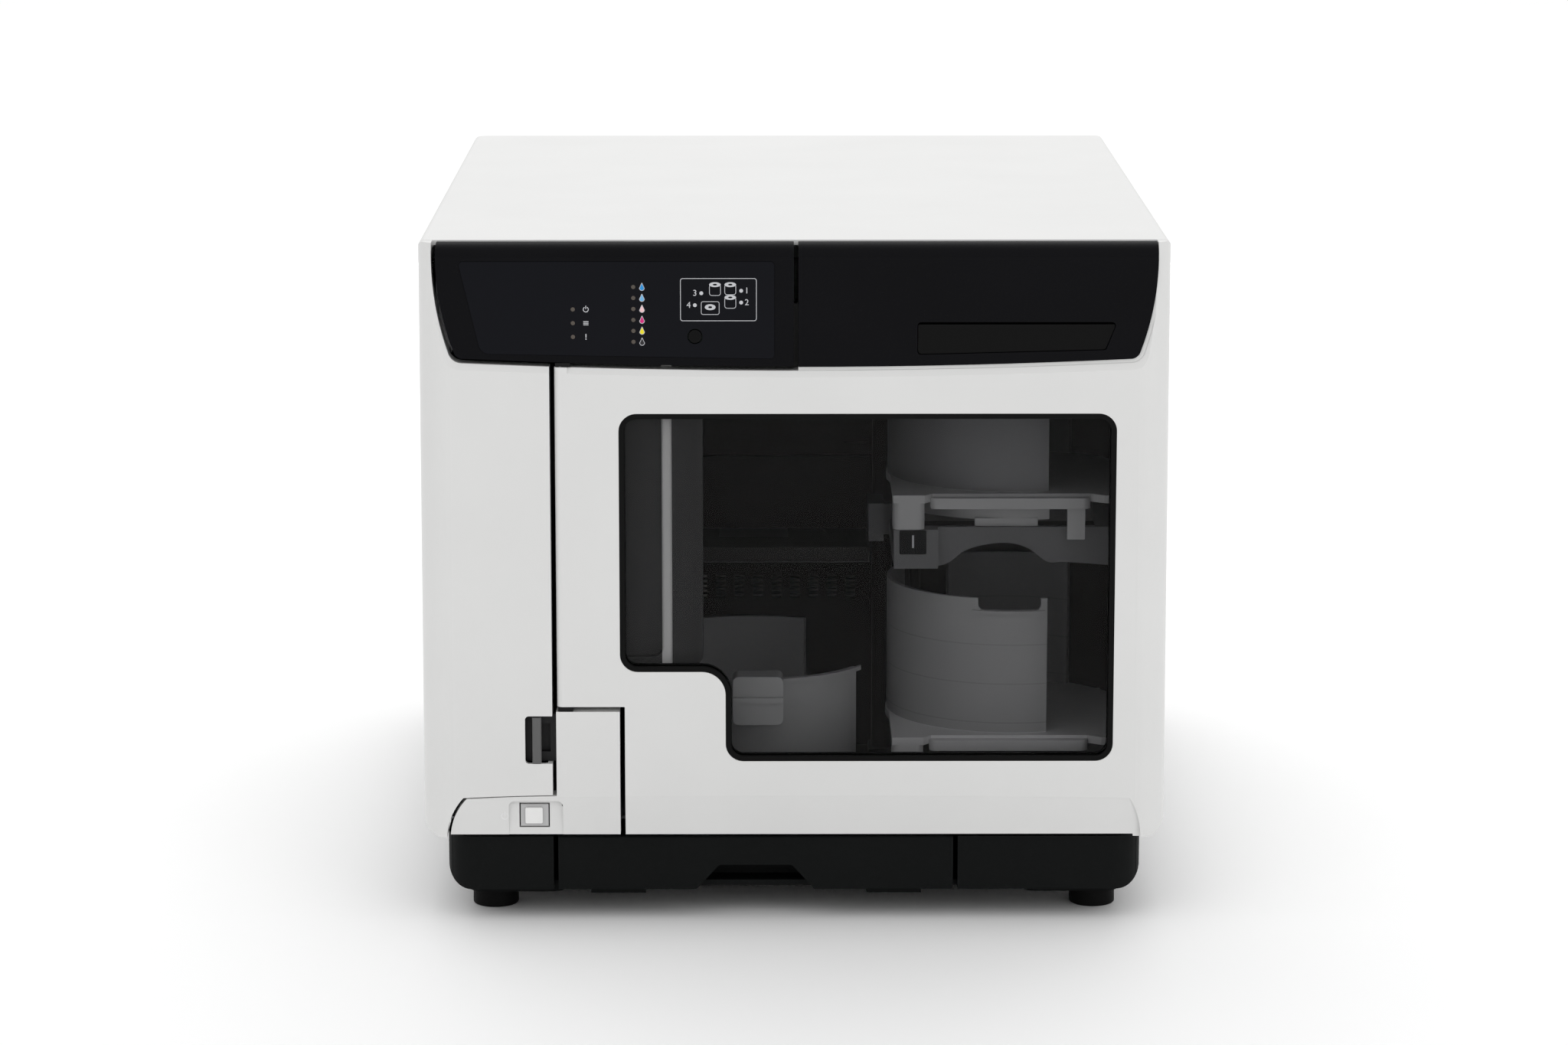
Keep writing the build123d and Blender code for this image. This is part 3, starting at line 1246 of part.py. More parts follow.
PARTS = {
    "top_cover": top_cover,
    "left_side_cover": lambda: side_cover(True),
    "right_side_cover": lambda: side_cover(False),
    "rear_cover": rear_cover,
    "power_inlet": power_inlet,
    "data_socket": data_socket,
    "ink_cover": ink_cover,
    "ink_cover_pins": ink_cover_pins,
    "lower_front_panel": lower_front_panel,
    "power_key": power_key,
    "lever_housing": lever_housing,
    "lock_lever": lock_lever,
    "door_frame": door_frame,
    "door_pins": door_pins,
    "door_band": door_band,
    "door_grip": door_grip,
    "door_window": door_window,
    "window_gasket": window_gasket,
    "door_liner": door_liner,
    "control_panel": control_panel,
    "panel_overlay": panel_overlay,
    "panel_lamps": panel_lamps,
    "panel_key": panel_key,
    "control_boards": control_boards,
    "base_tray": base_tray,
    "base_plinths": base_plinths,
    "base_fascias": base_fascias,
    "drawer_front": drawer_front,
    "drawer_tray": drawer_tray,
    "feet": feet,
    "chassis": chassis,
    "hinge_tabs": hinge_tabs,
    "front_frame": front_frame,
    "chamber_floor": chamber_floor,
    "chamber_walls": chamber_walls,
    "printer_front": printer_front,
    "printer_body": printer_body,
    "carriage_rail": carriage_rail,
    "print_carriage": print_carriage,
    "printer_tray": printer_tray,
    "disc_drive_1": lambda: disc_drive(1),
    "disc_drive_2": lambda: disc_drive(0),
    "drive_tray_1": lambda: drive_tray(1),
    "drive_tray_2": lambda: drive_tray(0),
    "drive_cage": drive_cage,
    "stacker_1": stacker_1,
    "stacker_2": stacker_2,
    "stacker_3": stacker_3,
    "stacker_holder_upper": stacker_holder_upper,
    "stacker_holder_lower": stacker_holder_lower,
    "arm_column": arm_column,
    "arm_carriage": arm_carriage,
    "arm": arm,
    "ink_bay": ink_bay,
    "ink_cartridges": ink_cartridges,
    "main_board": main_board,
    "power_supply": power_supply,
    "fan_frame": fan_frame,
    "fan_rotor": fan_rotor,
    "rear_screws": rear_screws,
}


def as_one(shape):
    """A shape, or a list of separate solids joined in one compound."""
    if isinstance(shape, (list, tuple)):
        return Compound(children=[solid for part in shape for solid in part.solids()])
    return shape


os.makedirs("parts", exist_ok=True)
for name, make in PARTS.items():
    export_step(as_one(make()), f"parts/{name}.step")
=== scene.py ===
"""Disc label printer in a plain studio: the finishes of its parts and the printed marks on its panels.

Metres, in the same frame as the parts: +Z is up, +X to the right, -Y towards the user.
"""
import bpy
import bmesh
from math import cos, pi, radians
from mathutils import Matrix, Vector


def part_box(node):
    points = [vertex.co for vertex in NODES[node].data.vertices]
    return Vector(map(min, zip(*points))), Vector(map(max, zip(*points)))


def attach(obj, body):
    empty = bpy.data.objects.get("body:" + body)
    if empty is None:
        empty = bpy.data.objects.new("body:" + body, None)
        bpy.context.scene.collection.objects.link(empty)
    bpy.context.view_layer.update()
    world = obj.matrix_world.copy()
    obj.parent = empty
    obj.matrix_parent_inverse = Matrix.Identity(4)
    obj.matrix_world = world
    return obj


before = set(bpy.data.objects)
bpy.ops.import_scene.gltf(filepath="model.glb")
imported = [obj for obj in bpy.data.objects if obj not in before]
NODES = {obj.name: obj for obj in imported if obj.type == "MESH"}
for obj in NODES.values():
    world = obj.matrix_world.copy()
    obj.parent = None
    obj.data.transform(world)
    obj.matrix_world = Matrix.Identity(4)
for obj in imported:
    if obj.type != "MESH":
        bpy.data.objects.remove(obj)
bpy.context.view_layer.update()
MM = 0.001

# ---- faces of the parts that carry marks, in millimetres ----
OVERLAY_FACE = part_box("panel_overlay")[0][1] / MM
PLATE_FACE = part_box("stacker_holder_upper")[0][1] / MM
KEY_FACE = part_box("power_key")[0][1] / MM
DRIVE_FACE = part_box("disc_drive_1")[0][1] / MM
CHIN_TOP_Y, CHIN_TOP_Z = -246.5, 66.2   # upper edge of the leaning chin
CHIN_SLOPE = 3.0 / 23.9                 # the chin leans back this much for each millimetre down

# ---- places of the marks, in millimetres; four numbers are left, right, bottom and top ----
PRINT_T = 0.06                          # thickness of a printed mark
DROP_TAPER = 0.55                       # share of its width that a drop loses towards its tip
STATUS_X = -110.3                       # the column of state lamps
STATUS_Z = (314.9, 308.0, 301.1)
STATUS_SIGN_X = STATUS_X + 6.5          # the signs stand beside their lamps
BUSY_HALF = 1.3                         # half length of a bar of the busy sign
DROP_X = -75.9
INK_TOP = 326.1
INK_PITCH = 5.5
LAYOUT_FRAME = (-56.9, -18.9, 309.0, 330.5)
LAYOUT_DRAWER = (-46.6, -37.4, 312.2, 318.9)
LAYOUT_DISC = (-42.0, 316.0)
# Middle, top and height of the sign of each stack.
LAYOUT_STACKS = ((-32.0, 327.3, 5.2), (-32.0, 320.9, 5.6), (-39.6, 327.3, 5.6))
# Middle of each dot, middle of its numeral, and the height of both.
LAYOUT_NUMBERS = ((-26.6, -23.8, 324.2), (-26.6, -23.8, 318.3), (-46.4, -49.6, 323.0), (-49.6, -52.7, 317.0))
DRUM_HALF = 2.9                         # half width of the sign of a stack
STACK_PLATE = (53.3, 67.0, 185.8, 198.2)
STACK_NUMBER = (60.2, 192.0, 9.5)       # the numeral's place and its height
KEY_MARK_X = -146.9                     # raised switch mark beside the power key
KEY_MARK_Z = 55.4

# ---- bands of another tone, in millimetres from the origin ----
# pale upright band on the inner frame: a painted highlight
FRAME_HIGHLIGHT_X = [(-66.8, -61.7)]
FILL_MARKS_Z = [(95.7, 96.2), (116.1, 116.6), (136.5, 137.0)]
# paler band over the lower stacker's plate: painted light
LOWER_PLATE_LIT_Z = [(70.0, 91.0)]
# paler band over the upper stacker's plate: painted light
UPPER_PLATE_LIT_Z = [(190.0, 216.6)]
KEY_CAP_Y = [(-250.0, KEY_FACE + 0.9)]
DRIVE_BEZEL_Y = [(DRIVE_FACE - 1, DRIVE_FACE + 2.5)]

# ---- studio ----
LENS = 107.6
CAMERA_PLACE = (-0.017, -2.552, 0.652)
CAMERA_DOWN = 10.92                     # degrees below level
CAMERA_TURN = -0.29                     # degrees about the vertical, less than zero to the right


# ---- colours and nodes ----
def linear(hex_colour, alpha=1.0):
    """sRGB hex to the linear values that a shader takes."""
    out = []
    for i in (1, 3, 5):
        c = int(hex_colour[i:i + 2], 16) / 255
        out.append(c / 12.92 if c <= 0.04045 else ((c + 0.055) / 1.055) ** 2.4)
    return (*out, alpha)


def add(tree, kind, settings=None, values=None, links=None):
    """Adds a node: its settings, the values of its sockets, and links from other nodes' sockets."""
    node = tree.nodes.new(kind)
    for key, value in (settings or {}).items():
        setattr(node, key, value)
    for key, value in (values or {}).items():
        node.inputs[key].default_value = value
    for key, source in (links or {}).items():
        tree.links.new(source, node.inputs[key])
    return node


def new_material(name):
    """An empty material with its output, its shader and the piece's own coordinates."""
    material = bpy.data.materials.new(name)
    material.use_nodes = True
    tree = material.node_tree
    tree.nodes.clear()
    shader = add(tree, "ShaderNodeBsdfPrincipled")
    add(tree, "ShaderNodeOutputMaterial", links={"Surface": shader.outputs["BSDF"]})
    place = add(tree, "ShaderNodeTexCoord").outputs["Object"]
    return material, tree, shader, place


def per_metre(size_mm):
    """Noise scale for a pattern whose features are this many millimetres wide."""
    return 1 / (size_mm * MM)


def moulded(name, colour, rough, grain_mm, relief_mm, tone=0.03, cloud_mm=60, coat=0.0, shine=0.5):
    """Injection-moulded plastic: an even colour with faint clouds, and the mould's grain in its gloss."""
    material, tree, shader, place = new_material(name)
    base = linear(colour)
    clouds = add(tree, "ShaderNodeTexNoise", values={"Scale": per_metre(cloud_mm), "Detail": 3.0},
                 links={"Vector": place})
    dark = tuple(c * (1 - tone) for c in base[:3]) + (1,)
    light = tuple(min(1, c * (1 + tone)) for c in base[:3]) + (1,)
    ramp = add(tree, "ShaderNodeValToRGB", links={"Fac": clouds.outputs["Fac"]})
    ramp.color_ramp.elements[0].position = 0.3
    ramp.color_ramp.elements[0].color = dark
    ramp.color_ramp.elements[1].position = 0.7
    ramp.color_ramp.elements[1].color = light
    tree.links.new(ramp.outputs["Color"], shader.inputs["Base Color"])
    grain = add(tree, "ShaderNodeTexNoise",
                values={"Scale": per_metre(grain_mm), "Detail": 4.0, "Roughness": 0.6},
                links={"Vector": place})
    gloss = add(tree, "ShaderNodeMapRange", values={"To Min": rough * 0.85, "To Max": min(1, rough * 1.15)},
                links={"Value": grain.outputs["Fac"]})
    tree.links.new(gloss.outputs["Result"], shader.inputs["Roughness"])
    relief = add(tree, "ShaderNodeBump", values={"Strength": 0.6, "Distance": relief_mm * MM},
                 links={"Height": grain.outputs["Fac"]})
    tree.links.new(relief.outputs["Normal"], shader.inputs["Normal"])
    shader.inputs["IOR"].default_value = 1.5
    shader.inputs["Specular IOR Level"].default_value = shine
    shader.inputs["Coat Weight"].default_value = coat
    shader.inputs["Coat Roughness"].default_value = 0.1
    return material


def banded(material, axis, spans_mm, colour):
    """Gives a second colour where the piece lies between two places along an axis."""
    tree = material.node_tree
    shader = next(node for node in tree.nodes if node.type == "BSDF_PRINCIPLED")
    place = next(node for node in tree.nodes if node.type == "TEX_COORD").outputs["Object"]
    along = add(tree, "ShaderNodeSeparateXYZ", links={"Vector": place}).outputs[axis]
    share = None
    for low, high in spans_mm:
        inside = add(tree, "ShaderNodeMath", {"operation": "COMPARE"},
                     {1: (low + high) / 2 * MM, 2: (high - low) / 2 * MM}, {0: along}).outputs[0]
        if share is None:
            share = inside
        else:
            share = add(tree, "ShaderNodeMath", {"operation": "MAXIMUM"},
                        links={0: share, 1: inside}).outputs[0]
    first = shader.inputs["Base Color"].links[0].from_socket
    tone = add(tree, "ShaderNodeMix", {"data_type": "RGBA"}, {"B": linear(colour)},
               {"Factor": share, "A": first})
    tree.links.new(tone.outputs["Result"], shader.inputs["Base Color"])
    return material


def rolled_steel(name, colour, rough, along, line_mm=0.6, metallic=1.0, shine=0.5):
    """Rolled or ground steel: fine lines one way in its gloss, and a faint tone from sheet to sheet."""
    material, tree, shader, place = new_material(name)
    stretch = [per_metre(line_mm)] * 3
    stretch["XYZ".index(along)] = per_metre(line_mm * 40)
    lines_at = add(tree, "ShaderNodeMapping", values={"Scale": stretch}, links={"Vector": place})
    lines = add(tree, "ShaderNodeTexNoise", values={"Scale": 1.0, "Detail": 3.0},
                links={"Vector": lines_at.outputs["Vector"]})
    tone = add(tree, "ShaderNodeMix", {"data_type": "RGBA"},
               {"A": tuple(c * 0.86 for c in linear(colour)[:3]) + (1,), "B": linear(colour)},
               {"Factor": lines.outputs["Fac"]})
    tree.links.new(tone.outputs["Result"], shader.inputs["Base Color"])
    gloss = add(tree, "ShaderNodeMapRange", values={"To Min": rough * 0.8, "To Max": rough * 1.25},
                links={"Value": lines.outputs["Fac"]})
    tree.links.new(gloss.outputs["Result"], shader.inputs["Roughness"])
    relief = add(tree, "ShaderNodeBump", values={"Strength": 0.3, "Distance": 0.02 * MM},
                 links={"Height": lines.outputs["Fac"]})
    tree.links.new(relief.outputs["Normal"], shader.inputs["Normal"])
    shader.inputs["Metallic"].default_value = metallic
    shader.inputs["Specular IOR Level"].default_value = shine
    return material


def smoked_acrylic(name, colour, rough):
    """Cast acrylic sheet dyed grey: clear, dark and polished, with a faint unevenness in the polish."""
    material, tree, shader, place = new_material(name)
    waves = add(tree, "ShaderNodeTexNoise", values={"Scale": per_metre(90), "Detail": 1.0},
                links={"Vector": place})
    gloss = add(tree, "ShaderNodeMapRange", values={"To Min": rough, "To Max": rough * 2.0},
                links={"Value": waves.outputs["Fac"]})
    tree.links.new(gloss.outputs["Result"], shader.inputs["Roughness"])
    depth = add(tree, "ShaderNodeMix", {"data_type": "RGBA"},
                {"A": tuple(c * 0.94 for c in linear(colour)[:3]) + (1,), "B": linear(colour)},
                {"Factor": waves.outputs["Fac"]})
    tree.links.new(depth.outputs["Result"], shader.inputs["Base Color"])
    shader.inputs["Transmission Weight"].default_value = 1.0
    shader.inputs["IOR"].default_value = 1.15
    return material


# White ABS, satin: a dense soft white with the fine grain of an etched mould.
ABS_WHITE = moulded("abs_white_satin_moulded", "#dcdcdb", 0.42, 0.9, 0.03, tone=0.012)
# Black ABS, spark-eroded: a matt black that looks slightly sandy up close.
ABS_BLACK_GRAINED = moulded("abs_black_spark_eroded", "#0a0a0d", 0.6, 1.1, 0.1, tone=0.1, shine=0.08)
# Black ABS, polished mould: smooth, with a soft highlight.
ABS_BLACK_SMOOTH = moulded("abs_black_smooth", "#0c0c0c", 0.3, 2.5, 0.01, tone=0.04, shine=0.08)
# Printed polycarbonate film: smooth and faintly blue black.
FILM_BLACK = moulded("polycarbonate_film_printed", "#0a0b11", 0.3, 3.0, 0.008, tone=0.04, shine=0.1)
# Black ABS of the base: a fine matt grain that takes a little light on its edges.
ABS_BASE = moulded("abs_base_fine_grain", "#0b0d0d", 0.6, 0.9, 0.08, tone=0.08, shine=0.1)
# Nitrile rubber: dull, deep black.
RUBBER = moulded("nitrile_rubber_moulded", "#060606", 0.62, 1.5, 0.05, tone=0.1, shine=0.12)
# Black ABS of the inner walls: matt, and hardly lit.
ABS_INNER = moulded("abs_inner_matt", "#101113", 0.6, 1.4, 0.06, tone=0.08, shine=0.15)
# Dark grey ABS of the inner frame, with one pale upright bar that shows through the window: a painted
# highlight, where light catches a rounded upright edge.
ABS_FRAME = banded(moulded("abs_frame_dark_grey_moulded", "#3d3d3d", 0.5, 1.2, 0.05, tone=0.05, shine=0.3),
                   "X", FRAME_HIGHLIGHT_X, "#f0f0ee")
# Grey ABS of the holders and the arm: mid grey with a fine grain.
ABS_HOLDER_GREY = moulded("abs_holder_grey_moulded", "#6a6a6b", 0.5, 1.2, 0.05, tone=0.05)
# Pale grey polypropylene of the output stacker: soft and slightly waxy.
PP_OUTPUT = moulded("polypropylene_output_stacker_moulded", "#adadad", 0.45, 1.4, 0.04, tone=0.04)
# The same in the lower stacker, with three filling marks that help to read the stack, and a paler band over
# its plate: painted light where light through the window falls on it.
PP_LOWER = moulded("polypropylene_lower_stacker_moulded", "#a8a8a8", 0.45, 1.4, 0.04, tone=0.04)
banded(PP_LOWER, "Z", FILL_MARKS_Z, "#979797")
banded(PP_LOWER, "Z", LOWER_PLATE_LIT_Z, "#dcdcdc")
# Darker grey polypropylene of the upper stacker, with the same paler band of painted light over its plate.
PP_UPPER = banded(moulded("polypropylene_upper_stacker_moulded", "#7e7e7f", 0.45, 1.4, 0.04, tone=0.04),
                  "Z", UPPER_PLATE_LIT_Z, "#b6b6b6")
# Dark grey ABS of the lever.
ABS_DARK_GREY = moulded("abs_dark_grey_moulded", "#585858", 0.45, 1.0, 0.04, tone=0.06)
# White ABS of the power key's cap with the grey skirt round it, so the key stands out from its recess.
KEY_WHITE = banded(moulded("abs_key_two_shot_moulded", "#b9b9b9", 0.35, 0.8, 0.02, tone=0.03),
                   "Y", KEY_CAP_Y, "#e9e9e8")
# Black glass-filled nylon of the trays and moving parts inside.
NYLON_BLACK = moulded("nylon_black_moulded", "#202123", 0.48, 0.8, 0.05, tone=0.08)
# Clear polycarbonate light pipes, unlit.
LAMP_CLEAR = moulded("polycarbonate_lamp_unlit", "#4c443c", 0.2, 2.0, 0.01, tone=0.05)
# Green solder mask over glass-fibre board.
BOARD_GREEN = moulded("solder_mask_green", "#1f4a33", 0.35, 1.2, 0.03, tone=0.15, cloud_mm=9)
# Zinc-plated sheet steel: cool grey with rolling lines.
STEEL_SHEET = rolled_steel("steel_zinc_plated_sheet", "#a9abad", 0.36, "Z")
# Drives: the same sheet behind a black bezel, so their fronts stay dark in the window.
DRIVE_CASE = banded(rolled_steel("steel_case_black_bezel", "#a9abad", 0.5, "Y", metallic=0.0, shine=0.1),
                    "Y", DRIVE_BEZEL_Y, "#0e0e10")
# Blackened steel of the hinge tabs, the shafts and the drives' shelf: dark, with faint lines.
STEEL_BLACK = rolled_steel("steel_black_oxide", "#141415", 0.5, "Z", line_mm=0.4, metallic=0.0, shine=0.15)
# Dark grey ABS of the lever's pocket.
ABS_POCKET = moulded("abs_pocket_dark_grey", "#262627", 0.5, 1.0, 0.04, tone=0.05, shine=0.2)
# Ground steel shafts and pins.
STEEL_GROUND = rolled_steel("steel_ground_shaft", "#c4c5c6", 0.2, "Z", line_mm=0.3)
# Smoked acrylic of the window.
ACRYLIC_SMOKED = smoked_acrylic("acrylic_smoked_cast", "#cececf", 0.01)

FINISHES = {
    "abs_white": (ABS_WHITE, "top_cover left_side_cover right_side_cover ink_cover lower_front_panel"
                             " door_frame"),
    "band": (ABS_BLACK_GRAINED, "door_band control_panel"),
    "grip": (ABS_BLACK_SMOOTH, "door_grip panel_key"),
    "film": (FILM_BLACK, "panel_overlay"),
    "base": (ABS_BASE, "base_tray base_plinths base_fascias drawer_front drawer_tray"),
    "rubber": (RUBBER, "feet window_gasket"),
    "window": (ACRYLIC_SMOKED, "door_window"),
    "inner": (ABS_INNER, "door_liner chamber_walls printer_front ink_bay chamber_floor"),
    "frame": (ABS_FRAME, "front_frame"),
    "holders": (ABS_HOLDER_GREY, "stacker_holder_upper stacker_holder_lower arm arm_carriage"),
    "output_stacker": (PP_OUTPUT, "stacker_3"),
    "lower_stacker": (PP_LOWER, "stacker_2"),
    "upper_stacker": (PP_UPPER, "stacker_1"),
    "dark_grey": (ABS_DARK_GREY, "lock_lever"),
    "pocket": (ABS_POCKET, "lever_housing"),
    "blackened": (STEEL_BLACK, "hinge_tabs drive_cage arm_column carriage_rail"),
    "power_key": (KEY_WHITE, "power_key"),
    "drives": (DRIVE_CASE, "disc_drive_1 disc_drive_2"),
    "nylon": (NYLON_BLACK, "drive_tray_1 drive_tray_2 printer_tray print_carriage ink_cartridges fan_frame"
                           " fan_rotor power_inlet"),
    "lamps": (LAMP_CLEAR, "panel_lamps"),
    "boards": (BOARD_GREEN, "control_boards main_board"),
    "steel": (STEEL_SHEET, "rear_cover chassis printer_body power_supply data_socket"),
    "shafts": (STEEL_GROUND, "door_pins ink_cover_pins rear_screws"),
}


def finish_nodes():
    """Gives every CAD node its finish."""
    for material, names in FINISHES.values():
        for name in names.split():
            mesh = NODES[name].data
            mesh.materials.clear()
            mesh.materials.append(material)


# ---- printed marks ----
def ink(name, colour):
    """Screen-printed ink: flat and slightly broken at the edge of each dot."""
    return moulded(name, colour, 0.5, 0.4, 0.01, tone=0.05, cloud_mm=3)


INK_WHITE = ink("screen_ink_pale_grey", "#c3c4c8")
MARK_PALE = ink("raised_mark_pale", "#e6e6e6")
INK_COLOURS = (
    ink("screen_ink_cyan", "#0a8fd8"),
    ink("screen_ink_light_cyan", "#6fb2e0"),
    ink("screen_ink_light_magenta", "#eec4c8"),
    ink("screen_ink_magenta", "#cf0f78"),
    ink("screen_ink_yellow", "#efe016"),
    ink("screen_ink_black", "#17151a"),
)


def begin():
    """Leaves edit mode and deselects everything, before a new piece starts."""
    if bpy.context.object and bpy.context.object.mode != "OBJECT":
        bpy.ops.object.mode_set(mode="OBJECT")
    bpy.ops.object.select_all(action="DESELECT")


def settle(name, material):
    """Names the piece, puts its place in its mesh and gives it its finish."""
    piece = bpy.context.object
    if piece.mode != "OBJECT":
        bpy.ops.object.mode_set(mode="OBJECT")
    bpy.ops.object.transform_apply(location=True, rotation=True, scale=True)
    piece.name = name
    piece.data.name = name
    piece.data.materials.clear()
    piece.data.materials.append(material)
    return piece


def thicken():
    """Extrudes the flat mark that is being edited towards the user."""
    bpy.ops.mesh.select_all(action="SELECT")
    bpy.ops.mesh.extrude_region_move(TRANSFORM_OT_translate={"value": (0, -PRINT_T * MM, 0)})
    bpy.ops.mesh.select_all(action="SELECT")
    bpy.ops.mesh.normals_make_consistent(inside=False)
    bpy.ops.object.mode_set(mode="OBJECT")


def start_rectangle(x0, x1, z0, z1, y, corner):
    """Begins an upright rectangle with rounded corners, left in edit mode and selected."""
    begin()
    bpy.ops.mesh.primitive_plane_add(size=1, location=((x0 + x1) / 2 * MM, y * MM, (z0 + z1) / 2 * MM),
                                     rotation=(pi / 2, 0, 0))
    bpy.context.object.scale = ((x1 - x0) * MM, (z1 - z0) * MM, 1)
    bpy.ops.object.transform_apply(location=True, rotation=True, scale=True)
    bpy.ops.object.mode_set(mode="EDIT")
    bpy.ops.mesh.select_all(action="SELECT")
    bpy.ops.mesh.bevel(offset=corner * MM, segments=3, affect="VERTICES")
    bpy.ops.mesh.select_all(action="SELECT")


def start_circle(x, z, r, y, sides, flat=1.0):
    """Begins an upright disc, left in edit mode and selected; flat squeezes it to an oval."""
    begin()
    bpy.ops.mesh.primitive_circle_add(vertices=sides, radius=r * MM, fill_type="NGON",
                                      location=(x * MM, y * MM, z * MM), rotation=(pi / 2, 0, 0))
    bpy.context.object.scale = (1, flat, 1)
    bpy.ops.object.transform_apply(location=True, rotation=True, scale=True)
    bpy.ops.object.mode_set(mode="EDIT")
    bpy.ops.mesh.select_all(action="SELECT")


def take_out_middle(line):
    """Leaves only a rim of the selected face."""
    bpy.ops.mesh.inset(thickness=line * MM, depth=0)
    bpy.ops.mesh.delete(type="FACE")


def patch(name, x0, x1, z0, z1, y, material, corner=0.15):
    """Printed patch with rounded corners."""
    start_rectangle(x0, x1, z0, z1, y, corner)
    thicken()
    return settle(name, material)


def outline_patch(name, x0, x1, z0, z1, y, line, material, corner=0.8):
    """Printed rounded frame: a patch whose middle is taken out."""
    start_rectangle(x0, x1, z0, z1, y, corner)
    take_out_middle(line)
    thicken()
    return settle(name, material)


def dot(name, x, z, r, y, material, tip=0.0, flat=1.0):
    """Printed dot; flat squeezes it to an oval, and with a tip it is a drop drawn up to a point."""
    start_circle(x, z, r, y, 24, flat)
    if tip:
        mesh = bmesh.from_edit_mesh(bpy.context.object.data)
        for vertex in mesh.verts:
            rise = (vertex.co.z / MM - z) / r
            if rise > 0:
                vertex.co.z += rise ** 2 * tip * MM
                vertex.co.x = (x + (vertex.co.x / MM - x) * (1 - rise * DROP_TAPER)) * MM
        bmesh.update_edit_mesh(bpy.context.object.data)
    thicken()
    return settle(name, material)


def ring(name, x, z, r, line, y, material, gap_deg=0.0):
    """Printed ring, open at its top where a gap is given."""
    start_circle(x, z, r + line / 2, y, 36)
    take_out_middle(line)
    if gap_deg:
        mesh = bmesh.from_edit_mesh(bpy.context.object.data)
        low = z + r * cos(radians(gap_deg / 2))
        for face in mesh.faces:
            face.select_set(face.calc_center_median().z / MM > low)
        bmesh.update_edit_mesh(bpy.context.object.data)
        bpy.ops.mesh.delete(type="FACE")
    thicken()
    return settle(name, material)


def numeral(name, text, x, z, size, y, material):
    """Plain printed numeral, centred on its place."""
    begin()
    bpy.ops.object.text_add(location=(0, 0, 0))
    letters = bpy.context.object
    letters.data.body = text
    letters.data.size = size * MM
    letters.data.align_x = "CENTER"
    letters.data.align_y = "CENTER"
    bpy.ops.object.convert(target="MESH")
    piece = bpy.context.object
    piece.location = (x * MM, y * MM, z * MM)
    piece.rotation_euler = (pi / 2, 0, 0)
    bpy.ops.object.transform_apply(location=True, rotation=True, scale=True)
    bpy.ops.object.mode_set(mode="EDIT")
    thicken()
    return settle(name, material)


def joined(name, pieces):
    """Several marks of one ink as one piece."""
    begin()
    for piece in pieces:
        piece.select_set(True)
    bpy.context.view_layer.objects.active = pieces[0]
    if len(pieces) > 1:
        bpy.ops.object.join()
    pieces[0].name = name
    pieces[0].data.name = name
    return pieces[0]


def carry(piece, body):
    """The piece rides on a body."""
    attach(piece, body)


def status_marks():
    """Signs of plain design beside the three state lamps: a switch, a busy mark and an attention mark."""
    x, y = STATUS_SIGN_X, OVERLAY_FACE
    switch_z, busy_z, alert_z = STATUS_Z
    marks = [ring("switch_ring", x, switch_z, 1.25, 0.38, y, INK_WHITE, gap_deg=70)]
    marks.append(patch("switch_stroke", x - 0.19, x + 0.19, switch_z + 0.2, switch_z + 1.9, y,
                       INK_WHITE, 0.08))
    for place, low, high in (("low", -1.0, -0.6), ("high", 0.6, 1.0), ("middle", -0.2, 0.2)):
        marks.append(patch(f"busy_{place}", x - BUSY_HALF, x + BUSY_HALF, busy_z + low, busy_z + high, y,
                           INK_WHITE, 0.08))
    marks.append(patch("alert_stroke", x - 0.25, x + 0.25, alert_z - 0.4, alert_z + 1.5, y, INK_WHITE, 0.1))
    marks.append(dot("alert_dot", x, alert_z - 1.1, 0.32, y, INK_WHITE))
    carry(joined("status_symbols", marks), "cabinet")


def ink_marks():
    """A drop with a pale rim beside each ink lamp, in the ink's colour."""
    y = OVERLAY_FACE
    rims = []
    for i, material in enumerate(INK_COLOURS):
        z = INK_TOP - INK_PITCH * i - 0.5
        rims.append(dot(f"ink_rim_{i + 1}", DROP_X, z, 1.35, y, INK_WHITE, tip=1.3))
        carry(dot(f"ink_drop_{i + 1}", DROP_X, z, 1.05, y - PRINT_T, material, tip=1.05), "cabinet")
    carry(joined("ink_rims", rims), "cabinet")


def drum(name, x, z, half, tall):
    """Printed sign of a stack: a rounded body with an oval top and the discs' hole in it."""
    y = OVERLAY_FACE
    body = outline_patch(name + "_body", x - half, x + half, z - tall, z + 0.2, y, 0.28, INK_WHITE, 1.3)
    top = dot(name + "_top", x, z, half, y - PRINT_T, INK_WHITE, flat=0.42)
    hole = dot(name + "_hole", x, z, half * 0.36, y - 2 * PRINT_T, FILM_BLACK, flat=0.42)
    carry(hole, "cabinet")
    return [body, top]


def layout_marks():
    """Sign that numbers the places for discs: two stacks at the right, one at the left, the drawer below."""
    y = OVERLAY_FACE
    marks = [outline_patch("layout_frame", *LAYOUT_FRAME, y, 0.3, INK_WHITE, 1.2)]
    for number, (x, z, tall) in enumerate(LAYOUT_STACKS, 1):
        marks += drum(f"layout_stack_{number}", x, z, DRUM_HALF, tall)
    marks.append(outline_patch("layout_drawer", *LAYOUT_DRAWER, y, 0.28, INK_WHITE, 1.0))
    marks.append(dot("layout_drawer_disc", *LAYOUT_DISC, 2.7, y - PRINT_T, INK_WHITE, flat=0.55))
    carry(dot("layout_drawer_hole", *LAYOUT_DISC, 0.95, y - 2 * PRINT_T, FILM_BLACK, flat=0.55),
          "cabinet")
    for number, (dot_x, x, z) in enumerate(LAYOUT_NUMBERS, 1):
        marks.append(dot(f"layout_place_{number}", dot_x, z, 0.95, y, INK_WHITE))
        marks.append(numeral(f"layout_number_{number}", str(number), x, z, 4.3, y, INK_WHITE))
    carry(joined("layout_sign", marks), "cabinet")


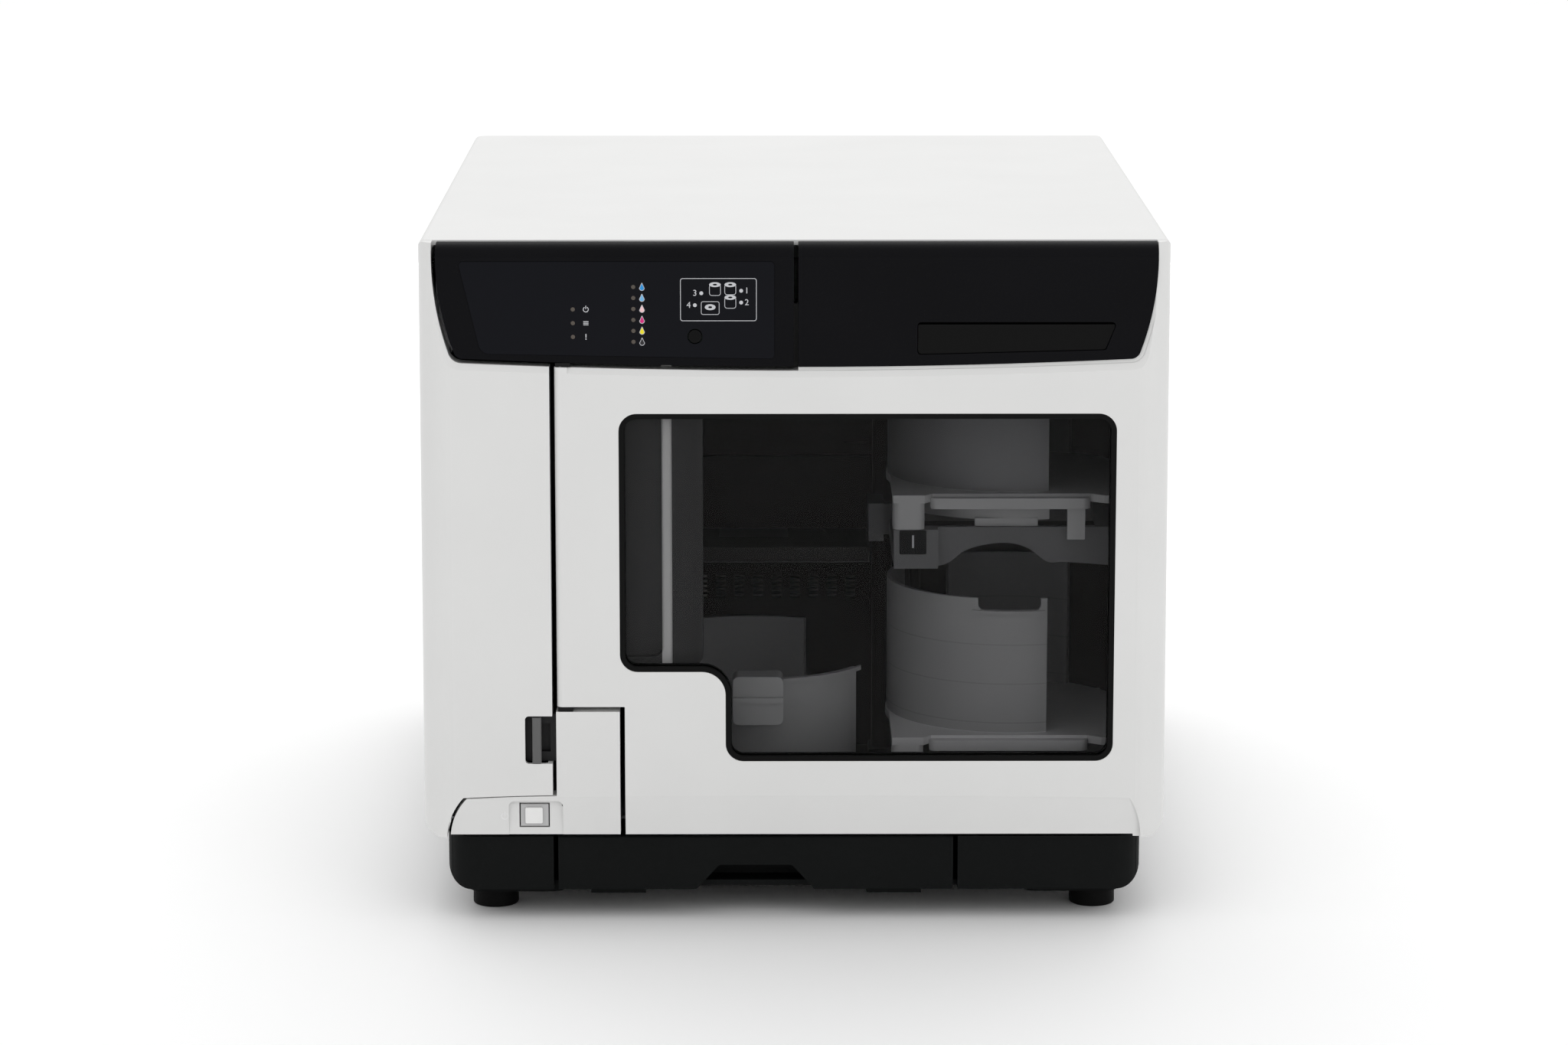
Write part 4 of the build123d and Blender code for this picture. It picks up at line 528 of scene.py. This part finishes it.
def stack_numbers():
    """Number plate of the upper stacker."""
    carry(patch("stack_plate_1", *STACK_PLATE, PLATE_FACE, ABS_INNER, 0.8), "cabinet")
    carry(numeral("stack_number_1", "1", *STACK_NUMBER, PLATE_FACE - PRINT_T, INK_WHITE), "cabinet")


def power_mark():
    """Raised switch mark beside the power key, leaning back with the chin that carries it."""
    x, z = KEY_MARK_X, KEY_MARK_Z
    y = CHIN_TOP_Y + CHIN_SLOPE * (CHIN_TOP_Z - z) + 0.02
    marks = [ring("power_ring", x, z, 1.7, 0.45, y, MARK_PALE, gap_deg=70)]
    marks.append(patch("power_stroke", x - 0.22, x + 0.22, z + 0.2, z + 2.4, y, MARK_PALE, 0.08))
    mark = joined("power_mark", marks)
    for vertex in mark.data.vertices:
        vertex.co.y -= (vertex.co.z - z * MM) * CHIN_SLOPE
    carry(mark, "cabinet")


# ---- studio ----
def studio():
    """Pale floor, soft lights and the camera at the photograph's angle."""
    begin()
    bpy.ops.mesh.primitive_plane_add(size=14, location=(0, 2, 0))
    floor = bpy.context.object
    floor.name = "studio_floor"
    paint = moulded("floor_painted_pale", "#fbfbfb", 0.7, 4.0, 0.02, tone=0.004, cloud_mm=400)
    floor.data.materials.append(paint)
    middle = (0, -0.1, 0.17)
    lights = (
        ("key_light", (-1.5, -2.8, 2.4), middle, 2.4, 9),
        ("fill_light", (2.2, -2.9, 1.6), middle, 2.2, 14),
        ("top_light", (0.0, 0.9, 3.0), middle, 3.4, 30),
        ("back_light", (0.0, 5.0, 4.0), (0, 4.8, 0), 6.0, 90),
    )
    for name, place, target, size, power in lights:
        lamp = bpy.data.lights.new(name, "AREA")
        lamp.shape = "SQUARE"
        lamp.size = size
        lamp.energy = power
        holder = bpy.data.objects.new(name, lamp)
        holder.location = place
        holder.rotation_euler = (Vector(target) - Vector(place)).to_track_quat("-Z", "Y").to_euler()
        bpy.context.scene.collection.objects.link(holder)
    world = bpy.data.worlds.new("studio_air")
    world.use_nodes = True
    world.node_tree.nodes["Background"].inputs["Color"].default_value = linear("#ffffff")
    world.node_tree.nodes["Background"].inputs["Strength"].default_value = 0.75
    bpy.context.scene.world = world
    bpy.context.scene.view_settings.view_transform = "Standard"
    view = bpy.data.cameras.new("photo_camera")
    view.sensor_width = 36
    view.lens = LENS
    camera = bpy.data.objects.new("photo_camera", view)
    camera.location = CAMERA_PLACE
    camera.rotation_euler = (radians(90 - CAMERA_DOWN), 0, radians(CAMERA_TURN))
    bpy.context.scene.collection.objects.link(camera)
    bpy.context.scene.camera = camera


finish_nodes()
status_marks()
ink_marks()
layout_marks()
stack_numbers()
power_mark()
studio()
